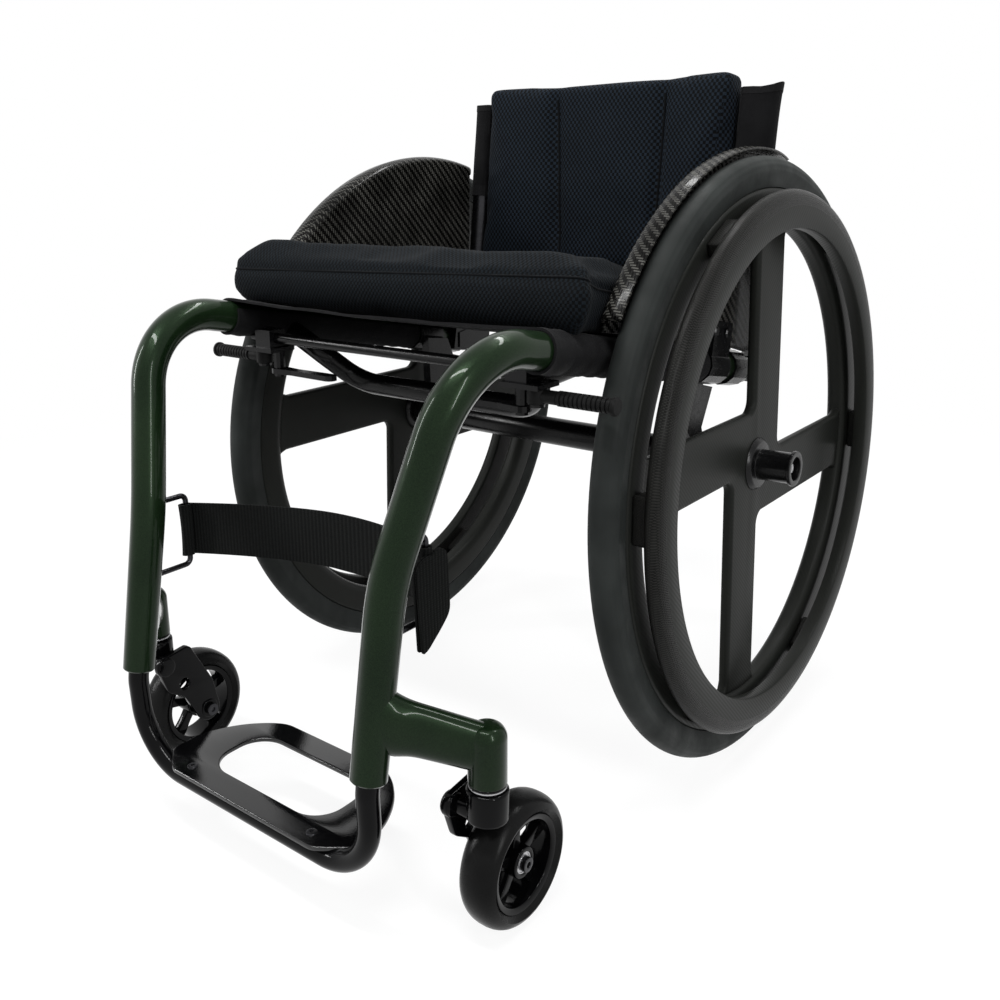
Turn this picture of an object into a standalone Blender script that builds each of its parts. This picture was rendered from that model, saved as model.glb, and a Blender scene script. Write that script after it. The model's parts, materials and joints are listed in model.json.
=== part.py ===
"""Ultralight rigid wheelchair: bent side tubes, a telescoping footrest, sprung-release
four-spoke rear wheels with flat handrims, single-blade front casters, a fold-forward
backrest, compact wheel brakes, moulded side guards and mesh cushions.

Metres, +Z up. The user faces -Y and the user's left is +X. Everything is laid out from
the rear axle (Y = 0 there), and an empty then moves the whole chair so that its
footprint is centred on the origin."""

import math

import bmesh
import bpy
from mathutils import Matrix, Vector

# Clearances between pieces
GAP = 0.0003
RUNNING_GAP = 0.0004

# Rear wheels, 24 inch
TYRE_RADIUS = 0.300
TYRE_SECTION = 0.0134
TYRE_BASE_HALF = 0.0106
CAMBER = math.radians(1.86)
WHEEL_OFFSET = 0.0402
WHEEL_STEPS = 36
TYRE_HEIGHT = 0.0295
RIM_DEPTH = 0.032
RIM_CHAMFER = 0.006
RIM_HALF_WIDTH = 0.0121
RIM_INNER_HALF = 0.0068
SPOKE_WIDTH = 0.0618
SPOKE_OFFSET = 0.0238
SPOKE_HALF_THICK = 0.0056
SPOKE_EDGE = 0.004
SPOKE_FILLET = 0.012
SPOKE_FLARE = 0.008

# Handrims
HANDRIM_FACE = 0.0379
HANDRIM_BACK = 0.0235
HANDRIM_INSET = 0.0017
HANDRIM_BAND = 0.037
TAB_COUNT = 6
TAB_PHASE = math.radians(3)
TAB_LENGTH = 0.043
TAB_INSET = 0.0033
TAB_HEIGHT = 0.0185

# Hubs and quick-release axles
HUB_RADIUS = 0.0195
HUB_FLANGE_RADIUS = 0.0275
HUB_FLANGE_THICK = 0.0045
HUB_INNER_END = 0.024
KNOB_RADIUS = 0.0155
KNOB_LIP_RADIUS = 0.0176
KNOB_LIP = 0.0036
KNOB_END = 0.046
KNOB_RECESS_RADIUS = 0.0118
KNOB_RECESS_DEPTH = 0.016
AXLE_RADIUS = 0.006
AXLE_HEAD_RADIUS = 0.0096
AXLE_HEAD_THICK = 0.0068
AXLE_INNER_LENGTH = 0.074
BUTTON_RADIUS = 0.005
BUTTON_LENGTH = 0.0075
BUTTON_TRAVEL = 0.004
SLEEVE_RADIUS = 0.012
SLEEVE_SPIGOT_RADIUS = 0.0102
SLEEVE_SPIGOT = 0.024

# Side frames
TUBE_RADIUS = 0.0155
LEG_END_RADIUS = 0.0145
LEG_INSET = 0.0379
SEAT_TUBE_X = 0.1845
LEG_END_Y = -0.4885
LEG_END_Z = 0.152
KNEE_Y = -0.4613
KNEE_Z = 0.301
KNEE_BEND = 0.25
FRONT_CORNER_Y = -0.4161
FRONT_CORNER_Z = 0.4743
FRONT_BEND = 0.075
SEAT_SLOPE = 0.191
SEAT_TUBE_END_Y = 0.044
PLUG_BORE_RADIUS = 0.0123
PLUG_DEPTH = 0.016
PLUG_FLANGE = 0.003

# Caster arms and stem housings
STEM_OFFSET = 0.0646
STEM_Y = -0.4262
HOUSING_RADIUS = 0.0153
HOUSING_BOTTOM = 0.1457
HOUSING_TOP = 0.1945
ARM_LEG_Z = 0.2004
ARM_HOUSING_Z = 0.1735
ARM_HALF_HEIGHT_LEG = 0.0232
ARM_HALF_HEIGHT_HOUSING = 0.0205
ARM_HALF_THICK = 0.012
ARM_FLARE = 0.0035
STEM_BEARING_RADIUS = 0.011
STEM_BEARING_LENGTH = 0.036
STEM_COLLAR_RADIUS = 0.0147
STEM_COLLAR = 0.0036
STEM_RADIUS = 0.006

# Caster forks and wheels
CASTER_RADIUS = 0.0559
CASTER_HALF_WIDTH = 0.0178
CASTER_TRAIL = 0.0366
CASTER_INSET = 0.0027
CROWN_RADIUS = 0.0168
CROWN_HEIGHT = 0.027
BLADE_THICK = 0.0068
BLADE_WHEEL_GAP = 0.0032
BLADE_HALF_WIDTH = 0.0165
LOBE_REACH = 0.0205
LOBE_RADIUS = 0.0105
LOBE_DROP = 0.006
BLADE_HOLE_RADIUS = 0.006
BLADE_HOLE_REACH = 0.0092
BLADE_HOLE_Z = 0.095
BLADE_TOP_REACH = 0.0135
BLADE_TOP_DROP = 0.016
BLADE_TOP_ROUND = 0.009
CASTER_TYRE_INNER = 0.0415
CASTER_RIM_HALF = 0.0145
CASTER_RIM_THICK = 0.0058
CASTER_HUB_RADIUS = 0.0132
CASTER_HUB_HALF = 0.0115
CASTER_SPOKES = 5
CASTER_SPOKE_WIDTH = 0.010
CASTER_SPOKE_HALF_THICK = 0.0045
CASTER_BEARING_RADIUS = 0.0092
CASTER_BOLT_RADIUS = 0.004
CASTER_BOLT_HEAD_RADIUS = 0.0062
CASTER_BOLT_HEAD = 0.0038

# Footrest
FOOT_TUBE_RADIUS = 0.0093
FOOT_BEND_Z = 0.142
FOOT_BEND = 0.045
FOOT_BAR_Y = -0.4877
FOOT_CORNER = 0.055
FOOT_INSERTION = 0.066
FOOT_TRAVEL = 0.030
PLATE_TOP = 0.0757
PLATE_THICK = 0.004
PLATE_FRONT_Y = -0.5008
PLATE_FRONT_TAPER = 0.0284
PLATE_SIDE_INSET = 0.0282
PLATE_SIDE_START_Y = -0.4759
PLATE_SIDE_END_Y = -0.4496
PLATE_WAIST_TAPER = 0.0217
PLATE_WAIST_Y = -0.407
PLATE_REAR_Y = -0.3829
PLATE_REAR_TAPER = 0.053
OPENING_SIDE_BAND = 0.0456
OPENING_FRONT_Y = -0.4748
OPENING_REAR_Y = -0.4095
OPENING_CORNER = 0.027

# Camber tube and axle brackets
CAMBER_TUBE_RADIUS = 0.0155
CAMBER_TUBE_BORE = 0.0124
CAMBER_TUBE_INSET = 0.0085
CAMBER_CLAMP_RADIUS = 0.0205
CAMBER_CLAMP_WIDTH = 0.022
STRUT_INSET = 0.0195
STRUT_THICK = 0.0105
STRUT_OUTLINE = [
    (-0.012, 0.078),
    (0.008, 0.060),
    (-0.003, 0.327),
    (0.018, 0.760),
    (-0.004, 0.788),
    (-0.014, 0.985),
    (-0.050, 0.968),
    (-0.047, 0.443),
]
SEAT_CLAMP_RADIUS = 0.0185
SEAT_CLAMP_Y = -0.034
SEAT_CLAMP_LENGTH = 0.042
GUARD_TAB_HEIGHT = 0.044
GUARD_TAB_THICK = 0.0032
GUARD_BOLT_RADIUS = 0.003
GUARD_BOLT_HEAD_RADIUS = 0.0052
GUARD_BOLT_HEAD = 0.0028
GUARD_BOLT_SPACING = 0.026
GUARD_BOLT_RISE = 0.034

# Seat sling
SLEEVE_WALL = 0.0019
SLING_FRONT_Y = -0.3252
SLING_REAR_Y = -0.0577
SLING_THICK = 0.0022
SLING_SAG = 0.006

# Bars under the seat
U_BAR_RADIUS = 0.0105
U_BAR_Y = -0.2523
U_BAR_SHOULDER_INSET = 0.0545
U_BAR_SHOULDER_Z = 0.4155
U_BAR_LOW_INSET = 0.0765
U_BAR_LOW_Y = -0.2191
U_BAR_LOW_Z = 0.382
FRONT_BAR_RADIUS = 0.005
FRONT_BAR_LEAD = 0.0025
FRONT_BAR_DROP = 0.01667

# Brakes
SHOE_RADIUS = 0.0063
SHOE_ROOM = 0.02026
SHOE_DROP = 0.0202
SHOE_END_REACH = 0.0152
SHOE_PIVOT_INSET = 0.0189
SHOE_EYE_RADIUS = 0.0085
SHOE_FLANGE_RADIUS = 0.0076
SHOE_GROOVES = 2
LEVER_PIVOT_INSET = 0.0362
LEVER_PIVOT_LAG = 0.0037
LEVER_LENGTH = 0.078
LEVER_HALF_WIDTH = 0.0065
LEVER_THICK = 0.005
PIVOT_PIN_RADIUS = 0.0035
MOUNT_TOP_HEIGHT = 0.0085
MOUNT_HALF_LENGTH = 0.013
MOUNT_PLATE_THICK = 0.0042

# Backrest
BACK_PIVOT_Y = 0.0689
BACK_PIVOT_Z = 0.4543
BACK_TOP_Y = 0.0947
BACK_TOP_Z = 0.6660
POST_INSET = 0.0077
POST_RADIUS = 0.0124
EAR_THICK = 0.0036
EAR_RADIUS = 0.0112
EAR_WEB_LOW = 0.014
EAR_WEB_HIGH = 0.012
EAR_FOOT_DROP = 0.012
EAR_PIN_END = 0.003
HINGE_PIN_RADIUS = 0.004
BACK_CLAMP_Y = 0.0165
BACK_CLAMP_LENGTH = 0.030
BACK_BAR_RADIUS = 0.008
BACK_BAR_HEIGHT = 0.070
BACK_BAR_BOW = 0.030
BACK_BAR_BEND = 0.018
BACK_SLING_HEIGHT = 0.106
BACK_CUSHION_INSET = 0.027
BACK_CUSHION_HEIGHT = 0.195
BACK_CUSHION_THICK = 0.044
BACK_CUSHION_RISE = 0.013
BACK_PANEL_WIDTH = 0.0821
BACK_CHANNEL_HALF = 0.010
BACK_CHANNEL_DEPTH = 0.007

# Seat cushion
CUSHION_SIDE_ROOM = 0.0027
CUSHION_REAR_ROOM = 0.0201
CUSHION_THICK = 0.0578
CUSHION_SETBACK = 0.0289
CUSHION_CROWN = 0.005
CUSHION_TUCK = 0.003
CUSHION_BULGE = 0.012

# Side guards
GUARD_OFFSET = 0.0107
GUARD_THICK = 0.0025
GUARD_ROOM = 0.0075
GUARD_FLANGE = 0.0192
GUARD_START = math.radians(145.5)
GUARD_END = math.radians(74.7)
GUARD_CURL = 0.0065
GUARD_FADE = math.radians(11)
GUARD_REAR_REACH = 0.014
GUARD_SEAT_RISE = 0.020

# Calf strap
STRAP_WIDTH = 0.050
STRAP_THICK = 0.0022
STRAP_SAG = 0.020
STRAP_MID_Z = 0.2853
STRAP_TILT = 0.105
STRAP_DROP = 0.008
STRAP_TAIL_OFFSET = 0.0034
STRAP_TAIL_THICK = 0.0035
STRAP_TAIL = [
    (-0.437, 0.310),
    (-0.437, 0.238),
    (-0.430, 0.240),
    (-0.412, 0.252),
    (-0.400, 0.262),
    (-0.400, 0.316),
]
STAPLE_RADIUS = 0.0026
STAPLE_REACH = 0.030
STAPLE_HALF_HEIGHT = 0.034
STAPLE_BEND = 0.006

# Values that follow from the sizes above
LEG_X = SEAT_TUBE_X - LEG_INSET
HALF_TRACK = SEAT_TUBE_X + WHEEL_OFFSET
STEM_X = LEG_X + STEM_OFFSET
CAMBER_TUBE_END = SEAT_TUBE_X - CAMBER_TUBE_INSET
STRUT_X = SEAT_TUBE_X - STRUT_INSET
U_BAR_SHOULDER_X = SEAT_TUBE_X - U_BAR_SHOULDER_INSET
U_BAR_LOW_X = SEAT_TUBE_X - U_BAR_LOW_INSET
SHOE_PIVOT_X = SEAT_TUBE_X - SHOE_PIVOT_INSET
SHOE_END_X = HALF_TRACK + SHOE_END_REACH
LEVER_PIVOT_X = SEAT_TUBE_X - LEVER_PIVOT_INSET
POST_X = SEAT_TUBE_X - POST_INSET
GUARD_X = SEAT_TUBE_X + GUARD_OFFSET
GUARD_FLANGE_X = GUARD_X + GUARD_FLANGE
CUSHION_HALF_WIDTH = GUARD_X - CUSHION_SIDE_ROOM
BACK_CUSHION_HALF = POST_X - BACK_CUSHION_INSET
BACK_CHANNEL_X = BACK_CUSHION_HALF - BACK_PANEL_WIDTH
PLATE_HALF_WIDTH = LEG_X - PLATE_SIDE_INSET
PLATE_FRONT_HALF = PLATE_HALF_WIDTH - PLATE_FRONT_TAPER
PLATE_WAIST_HALF = PLATE_HALF_WIDTH - PLATE_WAIST_TAPER
PLATE_REAR_HALF = PLATE_HALF_WIDTH - PLATE_REAR_TAPER
OPENING_HALF = PLATE_HALF_WIDTH - OPENING_SIDE_BAND
STRAP_TAIL_X = LEG_X + STRAP_TAIL_OFFSET
RIM_OUTER_RADIUS = TYRE_RADIUS - TYRE_HEIGHT
RIM_INNER_RADIUS = RIM_OUTER_RADIUS - RIM_DEPTH
HANDRIM_RADIUS = RIM_OUTER_RADIUS - HANDRIM_INSET
HANDRIM_INNER_RADIUS = HANDRIM_RADIUS - HANDRIM_BAND
TAB_OUTER_RADIUS = HANDRIM_RADIUS - TAB_INSET
TAB_INNER_RADIUS = TAB_OUTER_RADIUS - TAB_HEIGHT
GUARD_RADIUS = TYRE_RADIUS + GUARD_ROOM
AXLE_HEIGHT = (TYRE_RADIUS - TYRE_SECTION) * math.cos(CAMBER) + TYRE_SECTION
CAMBER_TUBE_Z = AXLE_HEIGHT - (HALF_TRACK - CAMBER_TUBE_END) * math.tan(CAMBER)
SEAT_ANGLE = math.atan(SEAT_SLOPE)
LEG_SLOPE = (KNEE_Y - LEG_END_Y) / (KNEE_Z - LEG_END_Z)
LEG_AXIS = Vector((0, LEG_SLOPE, 1)).normalized()
FRONTMOST_Y = min(PLATE_FRONT_Y, LEG_END_Y - LEG_END_RADIUS * LEG_AXIS.z)
FOOTPRINT_CENTRE_Y = (TYRE_RADIUS + FRONTMOST_Y) / 2
SEAT_AXIS = Vector((0, 1, -SEAT_SLOPE)).normalized()
FOOT_BAR_Z = PLATE_TOP - PLATE_THICK - GAP - FOOT_TUBE_RADIUS
SLEEVE_OUTER = TUBE_RADIUS + GAP + SLEEVE_WALL
CROWN_TOP = HOUSING_BOTTOM - STEM_COLLAR - 3 * GAP
CASTER_X = STEM_X - CASTER_INSET
CASTER_Y = STEM_Y + CASTER_TRAIL
BLADE_X = CASTER_X - CASTER_HALF_WIDTH - BLADE_WHEEL_GAP - BLADE_THICK / 2
BACK_SLOPE = (BACK_TOP_Y - BACK_PIVOT_Y) / (BACK_TOP_Z - BACK_PIVOT_Z)
BACK_LEAN = math.atan(BACK_SLOPE)
BACK_AXIS = Vector((0, BACK_SLOPE, 1)).normalized()
POST_LENGTH = math.hypot(BACK_TOP_Y - BACK_PIVOT_Y, BACK_TOP_Z - BACK_PIVOT_Z)


def seat_z(y):
    """Height of the seat tube's centre line at a distance y behind the axle."""
    return FRONT_CORNER_Z - SEAT_SLOPE * (y - FRONT_CORNER_Y)


def leg_y(z):
    """Distance of the lower leg's centre line behind the axle, at height z."""
    return LEG_END_Y + LEG_SLOPE * (z - LEG_END_Z)


def around_flats(radius, sides):
    """Corner radius of a bore with this many sides whose flats are the given radius away."""
    return radius / math.cos(math.pi / sides)


SHOE_Z = seat_z(-TYRE_RADIUS) - FRONT_BAR_DROP - SHOE_DROP
SHOE_Y = -math.sqrt(TYRE_RADIUS**2 - (SHOE_Z - AXLE_HEIGHT) ** 2) - SHOE_ROOM
FRONT_BAR_Y = SHOE_Y - FRONT_BAR_LEAD
FRONT_BAR_Z = seat_z(FRONT_BAR_Y) - FRONT_BAR_DROP
LEVER_PIVOT_Y = SHOE_Y + LEVER_PIVOT_LAG
CUSHION_FRONT_Y = SLING_FRONT_Y + CUSHION_SETBACK
CUSHION_REAR_Y = SEAT_TUBE_END_Y - CUSHION_REAR_ROOM
CUSHION_LENGTH = (CUSHION_REAR_Y - CUSHION_FRONT_Y) / math.cos(SEAT_ANGLE)

# Start from an empty scene
for old in list(bpy.data.objects):
    bpy.data.objects.remove(old, do_unlink=True)

parts = bpy.data.collections.new("ultralight_wheelchair")
tools = bpy.data.collections.new("cutters")
bpy.context.scene.collection.children.link(parts)
bpy.context.scene.collection.children.link(tools)
tools.hide_render = True


def material(name, colour, roughness, metallic):
    made = bpy.data.materials.new(name)
    made.use_nodes = True
    shader = made.node_tree.nodes["Principled BSDF"]
    shader.inputs["Base Color"].default_value = (*colour, 1)
    shader.inputs["Roughness"].default_value = roughness
    shader.inputs["Metallic"].default_value = metallic
    return made


GREEN = material("metallic_green_paint", (0.012, 0.040, 0.022), 0.18, 0.75)
GLOSS_BLACK = material("gloss_black", (0.006, 0.006, 0.007), 0.12, 0.2)
SATIN_BLACK = material("satin_black_metal", (0.012, 0.012, 0.013), 0.38, 0.6)
CARBON = material("carbon_fibre", (0.028, 0.029, 0.028), 0.42, 0.1)
GUARD_CARBON = material("guard_carbon", (0.030, 0.030, 0.027), 0.25, 0.1)
RUBBER = material("tyre_rubber", (0.022, 0.023, 0.023), 0.70, 0.0)
GRIP = material("brake_rubber", (0.015, 0.015, 0.015), 0.80, 0.0)
STEEL = material("bright_steel", (0.55, 0.56, 0.57), 0.25, 1.0)
MESH = material("navy_mesh_fabric", (0.008, 0.010, 0.018), 0.90, 0.0)
CLOTH = material("black_cloth", (0.010, 0.010, 0.011), 0.85, 0.0)
WEBBING = material("black_webbing", (0.012, 0.012, 0.012), 0.80, 0.0)


def empty(name, location=(0, 0, 0), rotation=(0, 0, 0), parent=None):
    made = bpy.data.objects.new(name, None)
    made.empty_display_size = 0.03
    made.location = location
    made.rotation_euler = rotation
    made.parent = parent
    parts.objects.link(made)
    return made


def put(data, name, parent, paint, location=(0, 0, 0), rotation=(0, 0, 0)):
    made = bpy.data.objects.new(name, data)
    made.location = location
    made.rotation_euler = rotation
    made.parent = parent
    if paint:
        data.materials.append(paint)
        parts.objects.link(made)
    else:
        tools.objects.link(made)
        made.hide_render = True
        made.display_type = "WIRE"
    return made


def read_back(made):
    """The object's evaluated mesh, as data that can be edited."""
    bpy.context.view_layer.update()
    graph = bpy.context.evaluated_depsgraph_get()
    return bpy.data.meshes.new_from_object(made.evaluated_get(graph), depsgraph=graph)


def smooth(made, degrees=35):
    made.data.shade_smooth()
    made.data.set_sharp_from_angle(angle=math.radians(degrees))


def applied(made):
    """Applies an object's modifiers, and leaves it where it is."""
    mesh = read_back(made)
    made.modifiers.clear()
    made.data = mesh
    return made


def to_mesh(curve_object):
    """Makes a curve a mesh with its loose caps welded, so that it can be cut or joined."""
    mesh = read_back(curve_object)
    form = bmesh.new()
    form.from_mesh(mesh)
    bmesh.ops.remove_doubles(form, verts=form.verts, dist=1e-6)
    bmesh.ops.recalc_face_normals(form, faces=form.faces)
    form.to_mesh(mesh)
    form.free()
    name = curve_object.name
    made = bpy.data.objects.new(name + "_mesh", mesh)
    made.parent = curve_object.parent
    made.matrix_world = curve_object.matrix_world
    made.location = curve_object.location
    made.rotation_euler = curve_object.rotation_euler
    for home in curve_object.users_collection:
        home.objects.link(made)
    made.hide_render = curve_object.hide_render
    made.display_type = curve_object.display_type
    bpy.data.objects.remove(curve_object, do_unlink=True)
    made.name = name
    return made


def boolean(target, other, operation):
    step = target.modifiers.new(operation.lower(), "BOOLEAN")
    step.operation = operation
    step.solver = "EXACT"
    step.object = other
    return step


def cut(target, *cutters):
    for cutter in cutters:
        boolean(target, cutter, "DIFFERENCE")
    return applied(target)


def join(target, *others):
    for other in others:
        boolean(target, other, "UNION")
    return applied(target)


def rounded_path(corners, radii, turn=math.radians(12)):
    """Straight runs joined by arcs. Each inner corner has its bend radius."""
    points = [Vector(corners[0])]
    for before, corner, after, radius in zip(corners, corners[1:], corners[2:], radii):
        corner = Vector(corner)
        back = (Vector(before) - corner).normalized()
        on = (Vector(after) - corner).normalized()
        bend = math.pi - back.angle(on)
        reach = radius * math.tan(bend / 2)
        start = corner + back * reach
        centre = corner + (back + on).normalized() * radius / math.cos(bend / 2)
        axis = on.cross(back)
        steps = max(2, math.ceil(bend / turn))
        for step in range(steps + 1):
            spin = Matrix.Rotation(bend * step / steps, 3, axis)
            points.append(centre + spin @ (start - centre))
    points.append(Vector(corners[-1]))
    return points


def tube(name, points, radius, parent, paint, sides=12, scales=None, closed=False, place=(0, 0, 0)):
    """A round bar or tube along a path of points."""
    curve = bpy.data.curves.new(name, "CURVE")
    curve.dimensions = "3D"
    curve.bevel_depth = radius
    curve.bevel_resolution = (sides - 4) // 2
    curve.use_fill_caps = True
    curve.render_resolution_u = 0
    spline = curve.splines.new("POLY")
    spline.points.add(len(points) - 1)
    spline.use_cyclic_u = closed
    for index, point in enumerate(points):
        spline.points[index].co = (*point, 1)
        if scales:
            spline.points[index].radius = scales[index]
    return put(curve, name, parent, paint, place)


def flat(name, loops, thickness, parent, paint, location=(0, 0, 0), rotation=(0, 0, 0), edge=0.0):
    """A flat outline with holes, given thickness and, if asked, softened edges."""
    curve = bpy.data.curves.new(name, "CURVE")
    curve.dimensions = "2D"
    curve.fill_mode = "BOTH"
    curve.extrude = thickness / 2 - edge
    curve.bevel_depth = edge
    curve.bevel_resolution = 0
    curve.offset = -edge
    curve.render_resolution_u = 0
    for loop in loops:
        spline = curve.splines.new("POLY")
        spline.points.add(len(loop) - 1)
        spline.use_cyclic_u = True
        for index, (across, up) in enumerate(loop):
            spline.points[index].co = (across, up, 0, 1)
    return put(curve, name, parent, paint, location, rotation)


def turned(name, profile, steps, parent, paint, location=(0, 0, 0), rotation=(0, 0, 0), loop=True):
    """A profile of radius and height, run down its outer side, turned about its own Z."""
    mesh = bpy.data.meshes.new(name)
    edges = [(index, index + 1) for index in range(len(profile) - 1)]
    if loop:
        edges.append((len(profile) - 1, 0))
    mesh.from_pydata([(radius, 0, height) for radius, height in profile], edges, [])
    made = put(mesh, name, parent, paint, location, rotation)
    screw = made.modifiers.new("turn", "SCREW")
    screw.axis = "Z"
    screw.angle = 2 * math.pi
    screw.steps = steps
    screw.render_steps = steps
    screw.use_merge_vertices = True
    screw.merge_threshold = 0.00001
    screw.use_smooth_shade = True
    return made


def rod(name, radius, low, high, sides, parent, paint, location=(0, 0, 0), rotation=(0, 0, 0)):
    """A plain cylinder along its own Z, from low to high."""
    form = bmesh.new()
    bmesh.ops.create_cone(
        form,
        cap_ends=True,
        segments=sides,
        radius1=radius,
        radius2=radius,
        depth=high - low,
        matrix=Matrix.Translation((0, 0, (low + high) / 2)),
    )
    mesh = bpy.data.meshes.new(name)
    form.to_mesh(mesh)
    form.free()
    return put(mesh, name, parent, paint, location, rotation)


def block(name, low, high, parent, paint, location=(0, 0, 0), rotation=(0, 0, 0), edge=0.0):
    """A box between two corners, with softened edges if asked."""
    form = bmesh.new()
    bmesh.ops.create_cube(form, size=1)
    size = Vector(high) - Vector(low)
    bmesh.ops.scale(form, verts=form.verts, vec=size)
    bmesh.ops.translate(form, verts=form.verts, vec=Vector(low) + size / 2)
    if edge:
        bmesh.ops.bevel(form, geom=form.edges, offset=edge, segments=1, affect="EDGES")
    mesh = bpy.data.meshes.new(name)
    form.to_mesh(mesh)
    form.free()
    return put(mesh, name, parent, paint, location, rotation)


def loft(name, rings, parent, paint):
    """Skins rings with equal numbers of points, and closes both ends."""
    form = bmesh.new()
    rows = [[form.verts.new(point) for point in ring] for ring in rings]
    for row, after in zip(rows, rows[1:]):
        for index in range(len(row)):
            on = (index + 1) % len(row)
            form.faces.new((row[index], row[on], after[on], after[index]))
    form.faces.new(reversed(rows[0]))
    form.faces.new(rows[-1])
    bmesh.ops.recalc_face_normals(form, faces=form.faces)
    mesh = bpy.data.meshes.new(name)
    form.to_mesh(mesh)
    form.free()
    return put(mesh, name, parent, paint)


def arc(centre, radius, start, end, steps):
    """Points on a circle from one angle to another, ends included."""
    return [
        (
            centre[0] + radius * math.cos(start + (end - start) * step / steps),
            centre[1] + radius * math.sin(start + (end - start) * step / steps),
        )
        for step in range(steps + 1)
    ]


def circle(centre, radius, steps):
    return arc(centre, radius, 0, 2 * math.pi * (steps - 1) / steps, steps - 1)


def rounded_box(half_x, low_y, high_y, corner, steps=4):
    """Outline of a rectangle, centred on X, with round corners."""
    points = []
    for turn, (across, up) in enumerate(
        (
            (half_x - corner, high_y - corner),
            (-half_x + corner, high_y - corner),
            (-half_x + corner, low_y + corner),
            (half_x - corner, low_y + corner),
        )
    ):
        start = turn * math.pi / 2
        points += arc((across, up), corner, start, start + math.pi / 2, steps)
    return points


def hammock(half_span, bore, outer, thickness, sag, ring_sides=14, band_steps=6):
    """Outline of a band with a sleeve at each end, tangent to the sleeves' top side."""
    drop = math.asin((outer - thickness) / outer)
    sweep = math.pi * 1.5 + drop
    steps = ring_sides - 2
    right = arc((half_span, 0), outer, math.pi / 2, math.pi / 2 - sweep, steps)
    left = [(-across, up) for across, up in reversed(right)]
    reach = half_span - outer * math.cos(drop)

    def dip(across, length):
        return sag * (1 - (across / length) ** 2)

    under = []
    over = []
    for step in range(1, band_steps):
        share = 1 - 2 * step / band_steps
        under.append((reach * share, outer - thickness - dip(reach * share, reach)))
        over.append((-half_span * share, outer - dip(half_span * share, half_span)))
    outline = right + under + left + over
    holes = [circle((side * half_span, 0), bore, ring_sides) for side in (-1, 1)]
    return [outline, *holes]


SIDEWAYS = (math.pi / 2, 0, math.pi / 2)
ALONG_X = (0, math.pi / 2, 0)

origin = empty("wheelchair_origin", (0, -FOOTPRINT_CENTRE_Y, 0))
left_side = empty("left_side", parent=origin)

# Side frame: one bent tube from the leg's open end to the seat's rear end
leg_end = (LEG_X, LEG_END_Y, LEG_END_Z)
knee = (LEG_X, KNEE_Y, KNEE_Z)
front_corner = (SEAT_TUBE_X, FRONT_CORNER_Y, FRONT_CORNER_Z)
seat_end = (SEAT_TUBE_X, SEAT_TUBE_END_Y, seat_z(SEAT_TUBE_END_Y))
side_path = rounded_path([leg_end, knee, front_corner, seat_end], [KNEE_BEND, FRONT_BEND])
taper = []
for place in side_path:
    share = min(1, max(0, (place.z - LEG_END_Z) / (KNEE_Z - LEG_END_Z)))
    taper.append((LEG_END_RADIUS + (TUBE_RADIUS - LEG_END_RADIUS) * share) / TUBE_RADIUS)
taper[-1] = 1
frame_side = to_mesh(
    tube("frame_side_left", side_path, TUBE_RADIUS, left_side, GREEN, 12, taper)
)
BORE_SIDES = 12

# Caster arm: an oval tube that flares into the leg
arm_start = Vector((LEG_X, leg_y(ARM_LEG_Z), ARM_LEG_Z))
arm_end = Vector((STEM_X, STEM_Y, ARM_HOUSING_Z))
arm_across = Vector((arm_end.y - arm_start.y, arm_start.x - arm_end.x, 0)).normalized()
arm_rings = []
for share, flare in ((0.02, 1), (0.20, 1), (0.25, 0.45), (0.32, 0.08), (0.55, 0), (0.97, 0)):
    centre = arm_start.lerp(arm_end, share)
    drift = ARM_HALF_HEIGHT_HOUSING - ARM_HALF_HEIGHT_LEG
    tall = ARM_HALF_HEIGHT_LEG + drift * share + ARM_FLARE * flare
    thick = ARM_HALF_THICK + ARM_FLARE * 0.6 * flare
    arm_rings.append(
        [centre + arm_across * thick * a + Vector((0, 0, tall * b)) for a, b in circle((0, 0), 1, 12)]
    )
arm = loft("arm_form", arm_rings, left_side, None)
housing_cap = HOUSING_TOP - HOUSING_BOTTOM
housing = turned(
    "housing_form",
    [
        (0, housing_cap),
        (HOUSING_RADIUS * 0.6, housing_cap - 0.0006),
        (HOUSING_RADIUS * 0.87, housing_cap - 0.003),
        (HOUSING_RADIUS, housing_cap - 0.008),
        (HOUSING_RADIUS, 0),
        (0, 0),
    ],
    14,
    left_side,
    None,
    (STEM_X, STEM_Y, HOUSING_BOTTOM),
    loop=False,
)
foot_bore = rod(
    "leg_bore",
    around_flats(FOOT_TUBE_RADIUS + GAP, BORE_SIDES),
    -0.02,
    FOOT_INSERTION + FOOT_TRAVEL + 0.004,
    BORE_SIDES,
    left_side,
    None,
    leg_end,
    LEG_AXIS.to_track_quat("Z", "Y").to_euler(),
)
stem_bore = rod(
    "housing_bore",
    around_flats(STEM_BEARING_RADIUS + GAP, BORE_SIDES),
    -0.02,
    STEM_BEARING_LENGTH + 2 * GAP,
    BORE_SIDES,
    left_side,
    None,
    (STEM_X, STEM_Y, HOUSING_BOTTOM),
)
plug_bore = rod(
    "plug_bore",
    around_flats(PLUG_BORE_RADIUS, BORE_SIDES),
    -PLUG_DEPTH,
    0.02,
    BORE_SIDES,
    left_side,
    None,
    seat_end,
    SEAT_AXIS.to_track_quat("Z", "Y").to_euler(),
)
join(frame_side, arm, housing)
cut(frame_side, foot_bore, stem_bore, plug_bore)
smooth(frame_side)

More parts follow.
